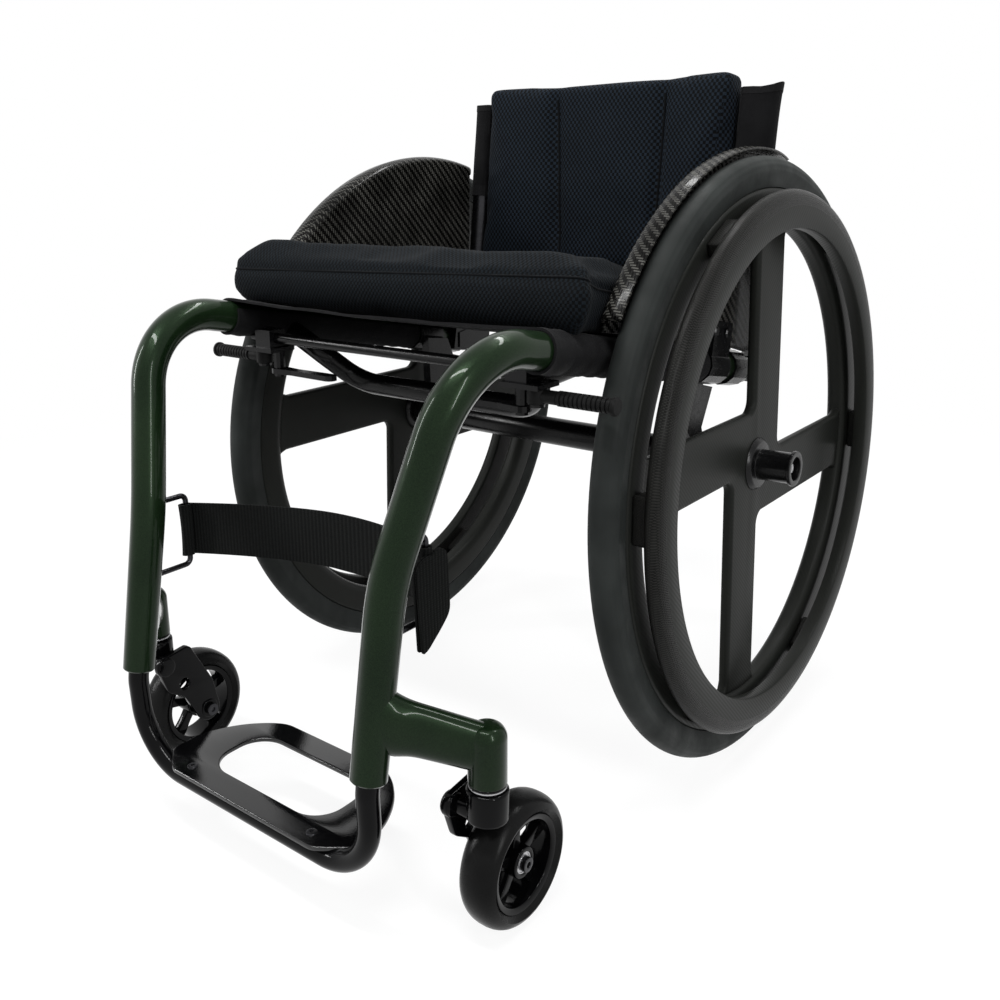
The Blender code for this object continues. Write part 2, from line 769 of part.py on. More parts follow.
plug = turned(
    "end_plug_left",
    [
        (0, PLUG_FLANGE),
        (TUBE_RADIUS * 0.7, PLUG_FLANGE),
        (TUBE_RADIUS, PLUG_FLANGE * 0.4),
        (TUBE_RADIUS, 0),
        (PLUG_BORE_RADIUS - GAP, 0),
        (PLUG_BORE_RADIUS - GAP, -PLUG_DEPTH + 4 * GAP),
        (0, -PLUG_DEPTH + 4 * GAP),
    ],
    12,
    left_side,
    SATIN_BLACK,
    Vector(seat_end) + SEAT_AXIS * GAP,
    SEAT_AXIS.to_track_quat("Z", "Y").to_euler(),
    loop=False,
)

# Caster stem bearing: a sleeve in the housing with a collar below it
turned(
    "stem_bearing_left",
    [
        (STEM_BEARING_RADIUS, STEM_BEARING_LENGTH),
        (STEM_BEARING_RADIUS, 0),
        (STEM_COLLAR_RADIUS, 0),
        (STEM_COLLAR_RADIUS, -STEM_COLLAR),
        (around_flats(STEM_RADIUS + RUNNING_GAP, 12), -STEM_COLLAR),
        (around_flats(STEM_RADIUS + RUNNING_GAP, 12), STEM_BEARING_LENGTH),
    ],
    12,
    left_side,
    SATIN_BLACK,
    (STEM_X, STEM_Y, HOUSING_BOTTOM - GAP),
)

# Caster fork: a round crown, one blade on the inner side with a lobe and a hole
swivel = empty("caster_swivel_axis_left", (STEM_X, STEM_Y, 0), parent=left_side)
crown_low = CROWN_TOP - CROWN_HEIGHT
stem_top = HOUSING_BOTTOM + STEM_BEARING_LENGTH - 4 * GAP
fork = applied(
    turned(
        "caster_fork_left",
        [
            (0, stem_top),
            (STEM_RADIUS, stem_top),
            (STEM_RADIUS, CROWN_TOP),
            (CROWN_RADIUS - 0.001, CROWN_TOP),
            (CROWN_RADIUS, CROWN_TOP - 0.001),
            (CROWN_RADIUS, crown_low + 0.002),
            (CROWN_RADIUS - 0.002, crown_low),
            (0, crown_low),
        ],
        14,
        swivel,
        GLOSS_BLACK,
        loop=False,
    )
)
axle_y = CASTER_TRAIL
axle_z = CASTER_RADIUS
lobe_z = crown_low + LOBE_RADIUS - LOBE_DROP
blade_outline = arc(
    (axle_y, axle_z), BLADE_HALF_WIDTH * 0.82, math.radians(-149), math.radians(20), 8
)
blade_outline += [(axle_y + 0.0075, axle_z + 0.030)]
blade_outline += arc(
    (BLADE_TOP_REACH, CROWN_TOP - BLADE_TOP_DROP),
    BLADE_TOP_ROUND,
    math.radians(17),
    math.radians(83),
    3,
)
blade_outline += arc((-LOBE_REACH + LOBE_RADIUS, lobe_z + 0.002), LOBE_RADIUS, math.radians(109), math.radians(229), 6)
blade_outline += [(-0.010, crown_low - 0.022)]
blade_outline += [(axle_y - 0.028, axle_z + 0.024)]
blade = to_mesh(
    flat(
        "blade_form",
        [blade_outline, circle((BLADE_HOLE_REACH, BLADE_HOLE_Z), BLADE_HOLE_RADIUS, 10)],
        BLADE_THICK,
        swivel,
        None,
        (BLADE_X - STEM_X, 0, 0),
        SIDEWAYS,
    )
)
bridge = block(
    "bridge_form",
    (BLADE_X - STEM_X - BLADE_THICK * 0.3, -0.0145, crown_low),
    (0, 0.0145, crown_low + 0.0125),
    swivel,
    None,
)
bolt_bore = rod(
    "fork_bolt_bore",
    around_flats(CASTER_BOLT_RADIUS + GAP, 8),
    -0.02,
    0.02,
    8,
    swivel,
    None,
    (BLADE_X - STEM_X, axle_y, axle_z),
    ALONG_X,
)
join(fork, blade, bridge)
cut(fork, bolt_bore)
smooth(fork)

# Caster axle bolt, from the blade's inner side to the bearing's outer end
blade_inner = BLADE_X - BLADE_THICK / 2
caster_outer = CASTER_X + CASTER_HUB_HALF
turned(
    "caster_bolt_left",
    [
        (0, caster_outer + CASTER_BOLT_HEAD + GAP - CASTER_X),
        (CASTER_BOLT_HEAD_RADIUS * 0.8, caster_outer + CASTER_BOLT_HEAD + GAP - CASTER_X),
        (CASTER_BOLT_HEAD_RADIUS, caster_outer + CASTER_BOLT_HEAD * 0.7 - CASTER_X),
        (CASTER_BOLT_HEAD_RADIUS, caster_outer + GAP - CASTER_X),
        (CASTER_BOLT_RADIUS, caster_outer + GAP - CASTER_X),
        (CASTER_BOLT_RADIUS, blade_inner - GAP - CASTER_X),
        (CASTER_BOLT_HEAD_RADIUS, blade_inner - GAP - CASTER_X),
        (CASTER_BOLT_HEAD_RADIUS, blade_inner - CASTER_BOLT_HEAD - CASTER_X),
        (0, blade_inner - CASTER_BOLT_HEAD - CASTER_X),
    ],
    8,
    swivel,
    STEEL,
    (CASTER_X - STEM_X, axle_y, axle_z),
    ALONG_X,
    loop=False,
)

# Caster wheel
roller = empty("caster_wheel_axis_left", (CASTER_X - STEM_X, axle_y, axle_z), parent=swivel)
half = CASTER_HALF_WIDTH
turned(
    "caster_tyre_left",
    [
        (CASTER_TYRE_INNER, CASTER_RIM_HALF - 0.001),
        (CASTER_RADIUS - 0.0095, half),
        (CASTER_RADIUS - 0.0035, half - 0.0038),
        (CASTER_RADIUS, half - 0.0115),
        (CASTER_RADIUS, -half + 0.0115),
        (CASTER_RADIUS - 0.0035, -half + 0.0038),
        (CASTER_RADIUS - 0.0095, -half),
        (CASTER_TYRE_INNER, -CASTER_RIM_HALF + 0.001),
    ],
    22,
    roller,
    RUBBER,
    rotation=ALONG_X,
)
caster_rim = applied(
    turned(
        "caster_rim_left",
        [
            (CASTER_TYRE_INNER - GAP, CASTER_RIM_HALF),
            (CASTER_TYRE_INNER - GAP, -CASTER_RIM_HALF),
            (CASTER_TYRE_INNER - CASTER_RIM_THICK, -CASTER_RIM_HALF + 0.0015),
            (CASTER_TYRE_INNER - CASTER_RIM_THICK, CASTER_RIM_HALF - 0.0015),
        ],
        22,
        roller,
        GLOSS_BLACK,
        rotation=ALONG_X,
    )
)
spoke_reach = CASTER_TYRE_INNER - CASTER_RIM_THICK + 0.0015
caster_forms = []
for number in range(CASTER_SPOKES):
    angle = math.pi / 2 + 2 * math.pi * number / CASTER_SPOKES
    caster_forms.append(
        to_mesh(
            flat(
                f"caster_spoke_form_{number}",
                [
                    [
                        (0.006, -CASTER_SPOKE_WIDTH / 2),
                        (spoke_reach, -CASTER_SPOKE_WIDTH * 0.36),
                        (spoke_reach, CASTER_SPOKE_WIDTH * 0.36),
                        (0.006, CASTER_SPOKE_WIDTH / 2),
                    ]
                ],
                2 * CASTER_SPOKE_HALF_THICK,
                roller,
                None,
                rotation=(SIDEWAYS[0] + 0, 0, SIDEWAYS[2]),
            )
        )
    )
    spin = Matrix.Rotation(angle, 4, "Z")
    caster_forms[-1].data.transform(spin)
hub_form = rod(
    "caster_hub_form",
    CASTER_HUB_RADIUS,
    -CASTER_HUB_HALF,
    CASTER_HUB_HALF,
    15,
    roller,
    None,
    rotation=ALONG_X,
)
join(caster_rim, hub_form, *caster_forms)
bearing_bore = rod(
    "caster_bearing_bore",
    around_flats(CASTER_BEARING_RADIUS + GAP, 14),
    -0.03,
    0.03,
    14,
    roller,
    None,
    rotation=ALONG_X,
)
cut(caster_rim, bearing_bore)
smooth(caster_rim)
turned(
    "caster_bearing_left",
    [
        (CASTER_BEARING_RADIUS, CASTER_HUB_HALF),
        (CASTER_BEARING_RADIUS, -CASTER_HUB_HALF),
        (around_flats(CASTER_BOLT_RADIUS + RUNNING_GAP, 14), -CASTER_HUB_HALF),
        (around_flats(CASTER_BOLT_RADIUS + RUNNING_GAP, 14), CASTER_HUB_HALF),
    ],
    14,
    roller,
    STEEL,
    rotation=ALONG_X,
)

# Rear wheel, about an axle tilted by the camber
wheel_axis = empty(
    "rear_wheel_axis_left",
    (HALF_TRACK, 0, AXLE_HEIGHT),
    (0, math.pi / 2 - CAMBER, 0),
    left_side,
)
section_centre = TYRE_RADIUS - TYRE_SECTION
tyre_profile = [(RIM_OUTER_RADIUS + GAP, TYRE_BASE_HALF)]
for angle in (math.radians(48 * step) for step in (2, 1, 0, -1, -2)):
    tyre_profile.append(
        (section_centre + TYRE_SECTION * math.cos(angle), TYRE_SECTION * math.sin(angle))
    )
tyre_profile += [(RIM_OUTER_RADIUS + GAP, -TYRE_BASE_HALF)]
turned("rear_tyre_left", tyre_profile, WHEEL_STEPS, wheel_axis, RUBBER)

wheel = applied(
    turned(
        "rear_wheel_left",
        [
            (RIM_INNER_RADIUS, RIM_INNER_HALF),
            (RIM_INNER_RADIUS + RIM_CHAMFER, RIM_HALF_WIDTH),
            (RIM_OUTER_RADIUS, RIM_HALF_WIDTH),
            (RIM_OUTER_RADIUS, -RIM_HALF_WIDTH),
            (RIM_INNER_RADIUS + RIM_CHAMFER, -RIM_HALF_WIDTH),
            (RIM_INNER_RADIUS, -RIM_INNER_HALF),
        ],
        WHEEL_STEPS,
        wheel_axis,
        CARBON,
    )
)
near_edge = SPOKE_WIDTH / 2 - SPOKE_OFFSET
far_edge = SPOKE_WIDTH / 2 + SPOKE_OFFSET
end_radius = RIM_INNER_RADIUS + 0.004


def at_radius(radius, aside):
    return math.sqrt(radius**2 - aside**2), aside


spoke_loop = []
for number in range(4):
    along = Vector((math.cos(-number * math.pi / 2), math.sin(-number * math.pi / 2)))
    aside = Vector((along.y, -along.x))
    run = [
        at_radius(end_radius, -near_edge - SPOKE_FLARE),
        at_radius(end_radius, (far_edge - near_edge) / 2),
        at_radius(end_radius, far_edge + SPOKE_FLARE),
        at_radius(RIM_INNER_RADIUS - 0.004, far_edge + SPOKE_FLARE * 0.3),
        at_radius(RIM_INNER_RADIUS - 0.011, far_edge),
    ]
    corner = (near_edge + SPOKE_FILLET, far_edge + SPOKE_FILLET)
    run += arc(corner, SPOKE_FILLET, -math.pi / 2, -math.pi, 4)
    for depth, spread in ((0.011, 0), (0.004, 0.3)):
        reach, _ = at_radius(RIM_INNER_RADIUS - depth, near_edge + SPOKE_FLARE * spread)
        run.append((near_edge + SPOKE_FLARE * spread, reach))
    spoke_loop += [along * a + aside * b for a, b in run]
spokes = to_mesh(
    flat(
        "spoke_form",
        [spoke_loop],
        2 * SPOKE_HALF_THICK,
        wheel_axis,
        None,
        edge=SPOKE_EDGE,
    )
)
join(wheel, spokes)
hub_bore = rod(
    "hub_bore",
    around_flats(HUB_RADIUS + GAP, 16),
    -0.03,
    0.03,
    16,
    wheel_axis,
    None,
)
cut(wheel, hub_bore)
smooth(wheel)

# Handrim with its mounting tabs
handrim = applied(
    turned(
        "handrim_left",
        [
            (HANDRIM_INNER_RADIUS, HANDRIM_FACE - 0.0018),
            (HANDRIM_INNER_RADIUS + 0.0018, HANDRIM_FACE),
            (HANDRIM_RADIUS - 0.0135, HANDRIM_FACE),
            (HANDRIM_RADIUS, HANDRIM_FACE - 0.0024),
            (HANDRIM_RADIUS - 0.0016, HANDRIM_FACE - 0.0062),
            (HANDRIM_INNER_RADIUS + 0.0040, HANDRIM_BACK),
            (HANDRIM_INNER_RADIUS, HANDRIM_BACK + 0.0020),
        ],
        WHEEL_STEPS,
        wheel_axis,
        CARBON,
    )
)
tab_forms = []
for number in range(TAB_COUNT):
    turn = math.pi / 2 - TAB_PHASE + 2 * math.pi * number / TAB_COUNT
    tab_forms.append(
        block(
            f"tab_form_{number}",
            (TAB_INNER_RADIUS, -TAB_LENGTH / 2, RIM_HALF_WIDTH + GAP),
            (TAB_OUTER_RADIUS, TAB_LENGTH / 2, HANDRIM_FACE - 0.0050),
            wheel_axis,
            None,
            rotation=(0, 0, turn),
        )
    )
join(handrim, *tab_forms)
smooth(handrim)

# Hub with a hollow knob on its outer end
flange_low = SPOKE_HALF_THICK + GAP
flange_high = flange_low + HUB_FLANGE_THICK
hub_bore_radius = around_flats(AXLE_RADIUS + RUNNING_GAP, 14)
turned(
    "wheel_hub_left",
    [
        (KNOB_RECESS_RADIUS, KNOB_END),
        (KNOB_LIP_RADIUS, KNOB_END),
        (KNOB_LIP_RADIUS, KNOB_END - KNOB_LIP),
        (KNOB_RADIUS, KNOB_END - KNOB_LIP),
        (KNOB_RADIUS, flange_high),
        (HUB_FLANGE_RADIUS * 0.85, flange_high),
        (HUB_FLANGE_RADIUS, flange_low),
        (HUB_RADIUS, flange_low),
        (HUB_RADIUS, -HUB_INNER_END),
        (hub_bore_radius, -HUB_INNER_END),
        (hub_bore_radius, KNOB_END - KNOB_RECESS_DEPTH),
        (KNOB_RECESS_RADIUS, KNOB_END - KNOB_RECESS_DEPTH),
    ],
    14,
    wheel_axis,
    SATIN_BLACK,
)

# Quick-release axle and its sprung button
head_low = KNOB_END - KNOB_RECESS_DEPTH + GAP
head_high = head_low + AXLE_HEAD_THICK
button_bore = around_flats(BUTTON_RADIUS + RUNNING_GAP, 10)
button_low = head_low + 0.0004 + BUTTON_TRAVEL + GAP
turned(
    "wheel_axle_left",
    [
        (0, head_low + 0.0004),
        (button_bore, head_low + 0.0004),
        (button_bore, head_high),
        (AXLE_HEAD_RADIUS - 0.001, head_high),
        (AXLE_HEAD_RADIUS, head_high - 0.001),
        (AXLE_HEAD_RADIUS, head_low),
        (AXLE_RADIUS, head_low),
        (AXLE_RADIUS, -AXLE_INNER_LENGTH + 0.002),
        (AXLE_RADIUS - 0.002, -AXLE_INNER_LENGTH),
        (0, -AXLE_INNER_LENGTH),
    ],
    10,
    wheel_axis,
    STEEL,
    loop=False,
)
turned(
    "axle_button_left",
    [
        (0, button_low + BUTTON_LENGTH),
        (BUTTON_RADIUS - 0.001, button_low + BUTTON_LENGTH),
        (BUTTON_RADIUS, button_low + BUTTON_LENGTH - 0.001),
        (BUTTON_RADIUS, button_low),
        (0, button_low),
    ],
    10,
    wheel_axis,
    STEEL,
    loop=False,
)

# Axle sleeve: seated in the camber tube, in line with the tilted axle
sleeve_seat = (HALF_TRACK - CAMBER_TUBE_END - GAP) / math.cos(CAMBER)
sleeve_seat -= SLEEVE_RADIUS * math.tan(CAMBER)
turned(
    "axle_sleeve_left",
    [
        (SLEEVE_RADIUS, -HUB_INNER_END - GAP),
        (SLEEVE_RADIUS, -sleeve_seat),
        (SLEEVE_SPIGOT_RADIUS, -sleeve_seat),
        (SLEEVE_SPIGOT_RADIUS, -sleeve_seat - SLEEVE_SPIGOT),
        (around_flats(AXLE_RADIUS + GAP, 10), -sleeve_seat - SLEEVE_SPIGOT),
        (around_flats(AXLE_RADIUS + GAP, 10), -HUB_INNER_END - GAP),
    ],
    10,
    wheel_axis,
    STEEL,
)

# Camber tube
turned(
    "camber_tube",
    [
        (CAMBER_TUBE_RADIUS, CAMBER_TUBE_END),
        (CAMBER_TUBE_RADIUS, -CAMBER_TUBE_END),
        (CAMBER_TUBE_BORE, -CAMBER_TUBE_END),
        (CAMBER_TUBE_BORE, CAMBER_TUBE_END),
    ],
    16,
    origin,
    SATIN_BLACK,
    (0, 0, CAMBER_TUBE_Z),
    ALONG_X,
)

# Axle bracket: a clamp on the seat tube, a strut, a clamp on the camber tube
along_seat = SEAT_AXIS.to_track_quat("Z", "Y").to_euler()
clamp_place = (SEAT_TUBE_X, SEAT_CLAMP_Y, seat_z(SEAT_CLAMP_Y))
bracket = rod(
    "axle_bracket_left",
    SEAT_CLAMP_RADIUS,
    -SEAT_CLAMP_LENGTH / 2,
    SEAT_CLAMP_LENGTH / 2,
    12,
    left_side,
    SATIN_BLACK,
    clamp_place,
    along_seat,
)
strut_outline = []
for strut_y, share in STRUT_OUTLINE:
    strut_outline.append((strut_y, CAMBER_TUBE_Z + share * (seat_z(strut_y) - CAMBER_TUBE_Z)))
strut = to_mesh(
    flat(
        "strut_form",
        [strut_outline],
        STRUT_THICK,
        left_side,
        None,
        (STRUT_X, 0, 0),
        SIDEWAYS,
    )
)
camber_clamp = rod(
    "camber_clamp_form",
    CAMBER_CLAMP_RADIUS,
    -CAMBER_CLAMP_WIDTH / 2,
    CAMBER_CLAMP_WIDTH / 2,
    12,
    left_side,
    None,
    (CAMBER_TUBE_END - CAMBER_CLAMP_WIDTH / 2 - GAP, 0, CAMBER_TUBE_Z),
    ALONG_X,
)
guard_inner = GUARD_X - GUARD_THICK / 2
guard_outer = GUARD_X + GUARD_THICK / 2
guard_tab = block(
    "guard_tab_form",
    (guard_outer + GAP, -SEAT_CLAMP_LENGTH * 0.46, 0.002),
    (guard_outer + GAP + GUARD_TAB_THICK, SEAT_CLAMP_LENGTH * 0.46, GUARD_TAB_HEIGHT),
    left_side,
    None,
    (0, SEAT_CLAMP_Y, seat_z(SEAT_CLAMP_Y)),
    (-SEAT_ANGLE, 0, 0),
)
bolt_forms = []
guard_holes = []
for shift in (-GUARD_BOLT_SPACING / 2, GUARD_BOLT_SPACING / 2):
    bolt_y = SEAT_CLAMP_Y + shift
    bolt_place = (guard_outer, bolt_y, seat_z(bolt_y) + GUARD_BOLT_RISE)
    head_base = GAP + GUARD_TAB_THICK * 0.6
    head_top = GAP + GUARD_TAB_THICK + GUARD_BOLT_HEAD
    bolt_forms.append(
        applied(
            turned(
                f"guard_bolt_form_{len(bolt_forms)}",
                [
                    (0, head_top),
                    (GUARD_BOLT_HEAD_RADIUS * 0.75, head_top),
                    (GUARD_BOLT_HEAD_RADIUS, head_top - GUARD_BOLT_HEAD * 0.5),
                    (GUARD_BOLT_HEAD_RADIUS, head_base),
                    (GUARD_BOLT_RADIUS, head_base),
                    (GUARD_BOLT_RADIUS, -GUARD_THICK),
                    (0, -GUARD_THICK),
                ],
                8,
                left_side,
                None,
                bolt_place,
                ALONG_X,
                loop=False,
            )
        )
    )
    guard_holes.append(
        rod(
            f"guard_hole_{len(guard_holes)}",
            around_flats(GUARD_BOLT_RADIUS + GAP, 8),
            -0.006,
            0.002,
            8,
            left_side,
            None,
            bolt_place,
            ALONG_X,
        )
    )
seat_tube_clearance = rod(
    "seat_tube_clearance",
    around_flats(TUBE_RADIUS + GAP, 12),
    -0.25,
    (SEAT_TUBE_END_Y + 0.001) / math.cos(SEAT_ANGLE) + PLUG_FLANGE,
    12,
    left_side,
    None,
    (SEAT_TUBE_X, 0, seat_z(0)),
    along_seat,
)
camber_clearance = rod(
    "camber_tube_clearance",
    around_flats(CAMBER_TUBE_RADIUS + GAP, 12),
    -CAMBER_TUBE_END - 0.02,
    CAMBER_TUBE_END + 0.02,
    12,
    left_side,
    None,
    (0, 0, CAMBER_TUBE_Z),
    ALONG_X,
)
join(bracket, strut, camber_clamp, guard_tab, *bolt_forms)
cut(bracket, seat_tube_clearance, camber_clearance)
smooth(bracket)

# Seat sling: a sleeve on each seat tube and a sagging sheet between
sling_length = (SLING_REAR_Y - SLING_FRONT_Y) / math.cos(SEAT_ANGLE)
sling_mid = (SLING_REAR_Y + SLING_FRONT_Y) / 2
sling = to_mesh(
    flat(
        "seat_sling",
        hammock(SEAT_TUBE_X, around_flats(TUBE_RADIUS + GAP, 12), SLEEVE_OUTER, SLING_THICK, SLING_SAG, 12),
        sling_length,
        origin,
        CLOTH,
        (0, sling_mid, seat_z(sling_mid)),
        (math.pi / 2 - SEAT_ANGLE, 0, 0),
    )
)

# Bars under the seat, coped to the seat tubes
bar_rise = seat_z(U_BAR_Y) - 0.006
u_path = rounded_path(
    [
        (-SEAT_TUBE_X, U_BAR_Y, bar_rise),
        (-U_BAR_SHOULDER_X, U_BAR_Y, U_BAR_SHOULDER_Z),
        (-U_BAR_LOW_X, U_BAR_LOW_Y, U_BAR_LOW_Z),
        (U_BAR_LOW_X, U_BAR_LOW_Y, U_BAR_LOW_Z),
        (U_BAR_SHOULDER_X, U_BAR_Y, U_BAR_SHOULDER_Z),
        (SEAT_TUBE_X, U_BAR_Y, bar_rise),
    ],
    [0.026, 0.036, 0.036, 0.026],
    math.radians(20),
)
u_bar = to_mesh(tube("seat_cross_bar", u_path, U_BAR_RADIUS, origin, SATIN_BLACK, 8))
front_bar = to_mesh(
    tube(
        "front_cross_bar",
        [(side * SEAT_TUBE_X, FRONT_BAR_Y, FRONT_BAR_Z) for side in (-1, 1)],
        FRONT_BAR_RADIUS,
        origin,
        SATIN_BLACK,
        10,
    )
)
tube_cutters = []
sleeve_cutters = []
for side in (-1, 1):
    tube_cutters.append(
        rod(
            f"cope_cutter_{len(tube_cutters)}",
            around_flats(TUBE_RADIUS + GAP, 16),
            -0.40,
            0.05,
            16,
            origin,
            None,
            (side * SEAT_TUBE_X, 0, seat_z(0)),
            along_seat,
        )
    )
for name, place_y, place_z, radius in (
    ("u_bar_notch", U_BAR_Y, bar_rise, U_BAR_RADIUS),
    ("front_bar_notch", FRONT_BAR_Y, FRONT_BAR_Z, FRONT_BAR_RADIUS),
):
    for side in (-1, 1):
        room = radius + 0.0025
        sleeve_cutters.append(
            block(
                f"{name}_{len(sleeve_cutters)}",
                (-SLEEVE_OUTER - 0.002, -room, place_z - seat_z(place_y) - room - 0.004),
                (TUBE_RADIUS * 0.35, room, place_z - seat_z(place_y) + room),
                origin,
                None,
                (side * SEAT_TUBE_X, place_y, seat_z(place_y)),
            )
        )
        if side < 0:
            sleeve_cutters[-1].data.transform(Matrix.Rotation(math.pi, 4, "Z"))
cut(u_bar, *tube_cutters)
cut(front_bar, *tube_cutters)
cut(sling, *sleeve_cutters)
smooth(u_bar)
smooth(front_bar)
smooth(sling)

# Brake mount: clamped on the front bar, with two pivot pins below it
mount_low = SHOE_Z + SHOE_RADIUS + 2 * GAP
plate_top = FRONT_BAR_Z - FRONT_BAR_RADIUS - 0.001
mount = block(
    "brake_mount_left",
    (LEVER_PIVOT_X - 0.010, FRONT_BAR_Y - MOUNT_HALF_LENGTH, mount_low),
    (SHOE_PIVOT_X + 0.011, FRONT_BAR_Y + MOUNT_HALF_LENGTH + 0.005, mount_low + MOUNT_PLATE_THICK),
    left_side,
    SATIN_BLACK,
)
saddle = block(
    "saddle_form",
    (LEVER_PIVOT_X - 0.006, FRONT_BAR_Y - 0.010, mount_low + MOUNT_PLATE_THICK * 0.5),
    (SHOE_PIVOT_X - 0.002, FRONT_BAR_Y + 0.010, FRONT_BAR_Z + MOUNT_TOP_HEIGHT),
    left_side,
    None,
)
shoe_low = SHOE_Z - SHOE_RADIUS
shoe_pin = turned(
    "shoe_pin_form",
    [
        (0, mount_low + MOUNT_PLATE_THICK * 0.5),
        (PIVOT_PIN_RADIUS, mount_low + MOUNT_PLATE_THICK * 0.5),
        (PIVOT_PIN_RADIUS, shoe_low - 2 * GAP),
        (PIVOT_PIN_RADIUS * 1.9, shoe_low - 2 * GAP),
        (PIVOT_PIN_RADIUS * 1.9, shoe_low - 0.0030),
        (0, shoe_low - 0.0030),
    ],
    10,
    left_side,
    None,
    (SHOE_PIVOT_X, SHOE_Y, 0),
    loop=False,
)
lever_high = SHOE_Z - SHOE_RADIUS - 0.0045
lever_low = lever_high - LEVER_THICK
lever_pin = turned(
    "lever_pin_form",
    [
        (0, mount_low + MOUNT_PLATE_THICK * 0.5),
        (PIVOT_PIN_RADIUS * 1.7, mount_low + MOUNT_PLATE_THICK * 0.5),
        (PIVOT_PIN_RADIUS * 1.7, lever_high + 2 * GAP),
        (PIVOT_PIN_RADIUS, lever_high + 2 * GAP),
        (PIVOT_PIN_RADIUS, lever_low - 2 * GAP),
        (PIVOT_PIN_RADIUS * 1.7, lever_low - 2 * GAP),
        (PIVOT_PIN_RADIUS * 1.7, lever_low - 0.0030),
        (0, lever_low - 0.0030),
    ],
    10,
    left_side,
    None,
    (LEVER_PIVOT_X, LEVER_PIVOT_Y, 0),
    loop=False,
)
front_bar_clearance = rod(
    "front_bar_clearance",
    around_flats(FRONT_BAR_RADIUS + GAP, 10),
    0.10,
    0.20,
    10,
    left_side,
    None,
    (0, FRONT_BAR_Y, FRONT_BAR_Z),
    ALONG_X,
)
sleeve_clearance = rod(
    "sleeve_clearance",
    around_flats(SLEEVE_OUTER + GAP, 20),
    -0.40,
    0.05,
    20,
    left_side,
    None,
    (SEAT_TUBE_X, 0, seat_z(0)),
    along_seat,
)
join(mount, saddle, shoe_pin, lever_pin)
cut(mount, front_bar_clearance, sleeve_clearance)
smooth(mount)

# Brake shoe: an eye on the mount's pin and a ribbed bar that swings to the tyre
shoe_axis = empty("brake_shoe_axis_left", (SHOE_PIVOT_X, SHOE_Y, SHOE_Z), parent=left_side)
shoe_reach = SHOE_END_X - SHOE_PIVOT_X
shoe_profile = [(0, shoe_reach), (SHOE_FLANGE_RADIUS - 0.001, shoe_reach)]
shoe_profile += [(SHOE_FLANGE_RADIUS, shoe_reach - 0.001), (SHOE_FLANGE_RADIUS, shoe_reach - 0.003)]
shoe_profile += [(SHOE_RADIUS - 0.0006, shoe_reach - 0.0035)]
groove_run = shoe_reach - 0.0035 - 0.020
for number in range(SHOE_GROOVES):
    top = shoe_reach - 0.0045 - groove_run * number / SHOE_GROOVES
    low = top - groove_run / SHOE_GROOVES * 0.72
    shoe_profile += [(SHOE_RADIUS, top), (SHOE_RADIUS, low)]
    shoe_profile += [(SHOE_RADIUS - 0.0008, low - 0.0006)]
shoe_profile += [(SHOE_RADIUS - 0.0008, 0.0045), (0, 0.0045)]
shoe_bar = applied(
    turned(
        "shoe_bar_form",
        shoe_profile,
        10,
        shoe_axis,
        None,
        rotation=ALONG_X,
        loop=False,
    )
)
shoe = rod(
    "brake_shoe_left",
    SHOE_EYE_RADIUS,
    -SHOE_RADIUS,
    SHOE_RADIUS,
    12,
    shoe_axis,
    GRIP,
)
shoe_bore = rod(
    "shoe_bore",
    around_flats(PIVOT_PIN_RADIUS + RUNNING_GAP, 10),
    -0.02,
    0.02,
    10,
    shoe_axis,
    None,
)
join(shoe, shoe_bar)
cut(shoe, shoe_bore)
smooth(shoe)

# Brake lever: a flat arm that lies under the seat and swings forward
lever_axis = empty("brake_lever_axis_left", (LEVER_PIVOT_X, LEVER_PIVOT_Y, 0), parent=left_side)
tip = -LEVER_LENGTH
lever_outline = arc((0, 0), LEVER_HALF_WIDTH * 1.25, -1.9, 1.9, 8)
lever_outline += [(-0.022, LEVER_HALF_WIDTH * 0.8)]
lever_outline += arc((tip + LEVER_HALF_WIDTH, 0), LEVER_HALF_WIDTH, 1.6, 4.7, 6)
lever_outline += [(-0.022, -LEVER_HALF_WIDTH * 0.8)]
flat(
    "brake_lever_left",
    [lever_outline, circle((0, 0), around_flats(PIVOT_PIN_RADIUS + RUNNING_GAP, 10), 10)],
    LEVER_THICK,
    lever_axis,
    SATIN_BLACK,
    (0, 0, (lever_low + lever_high) / 2),
)

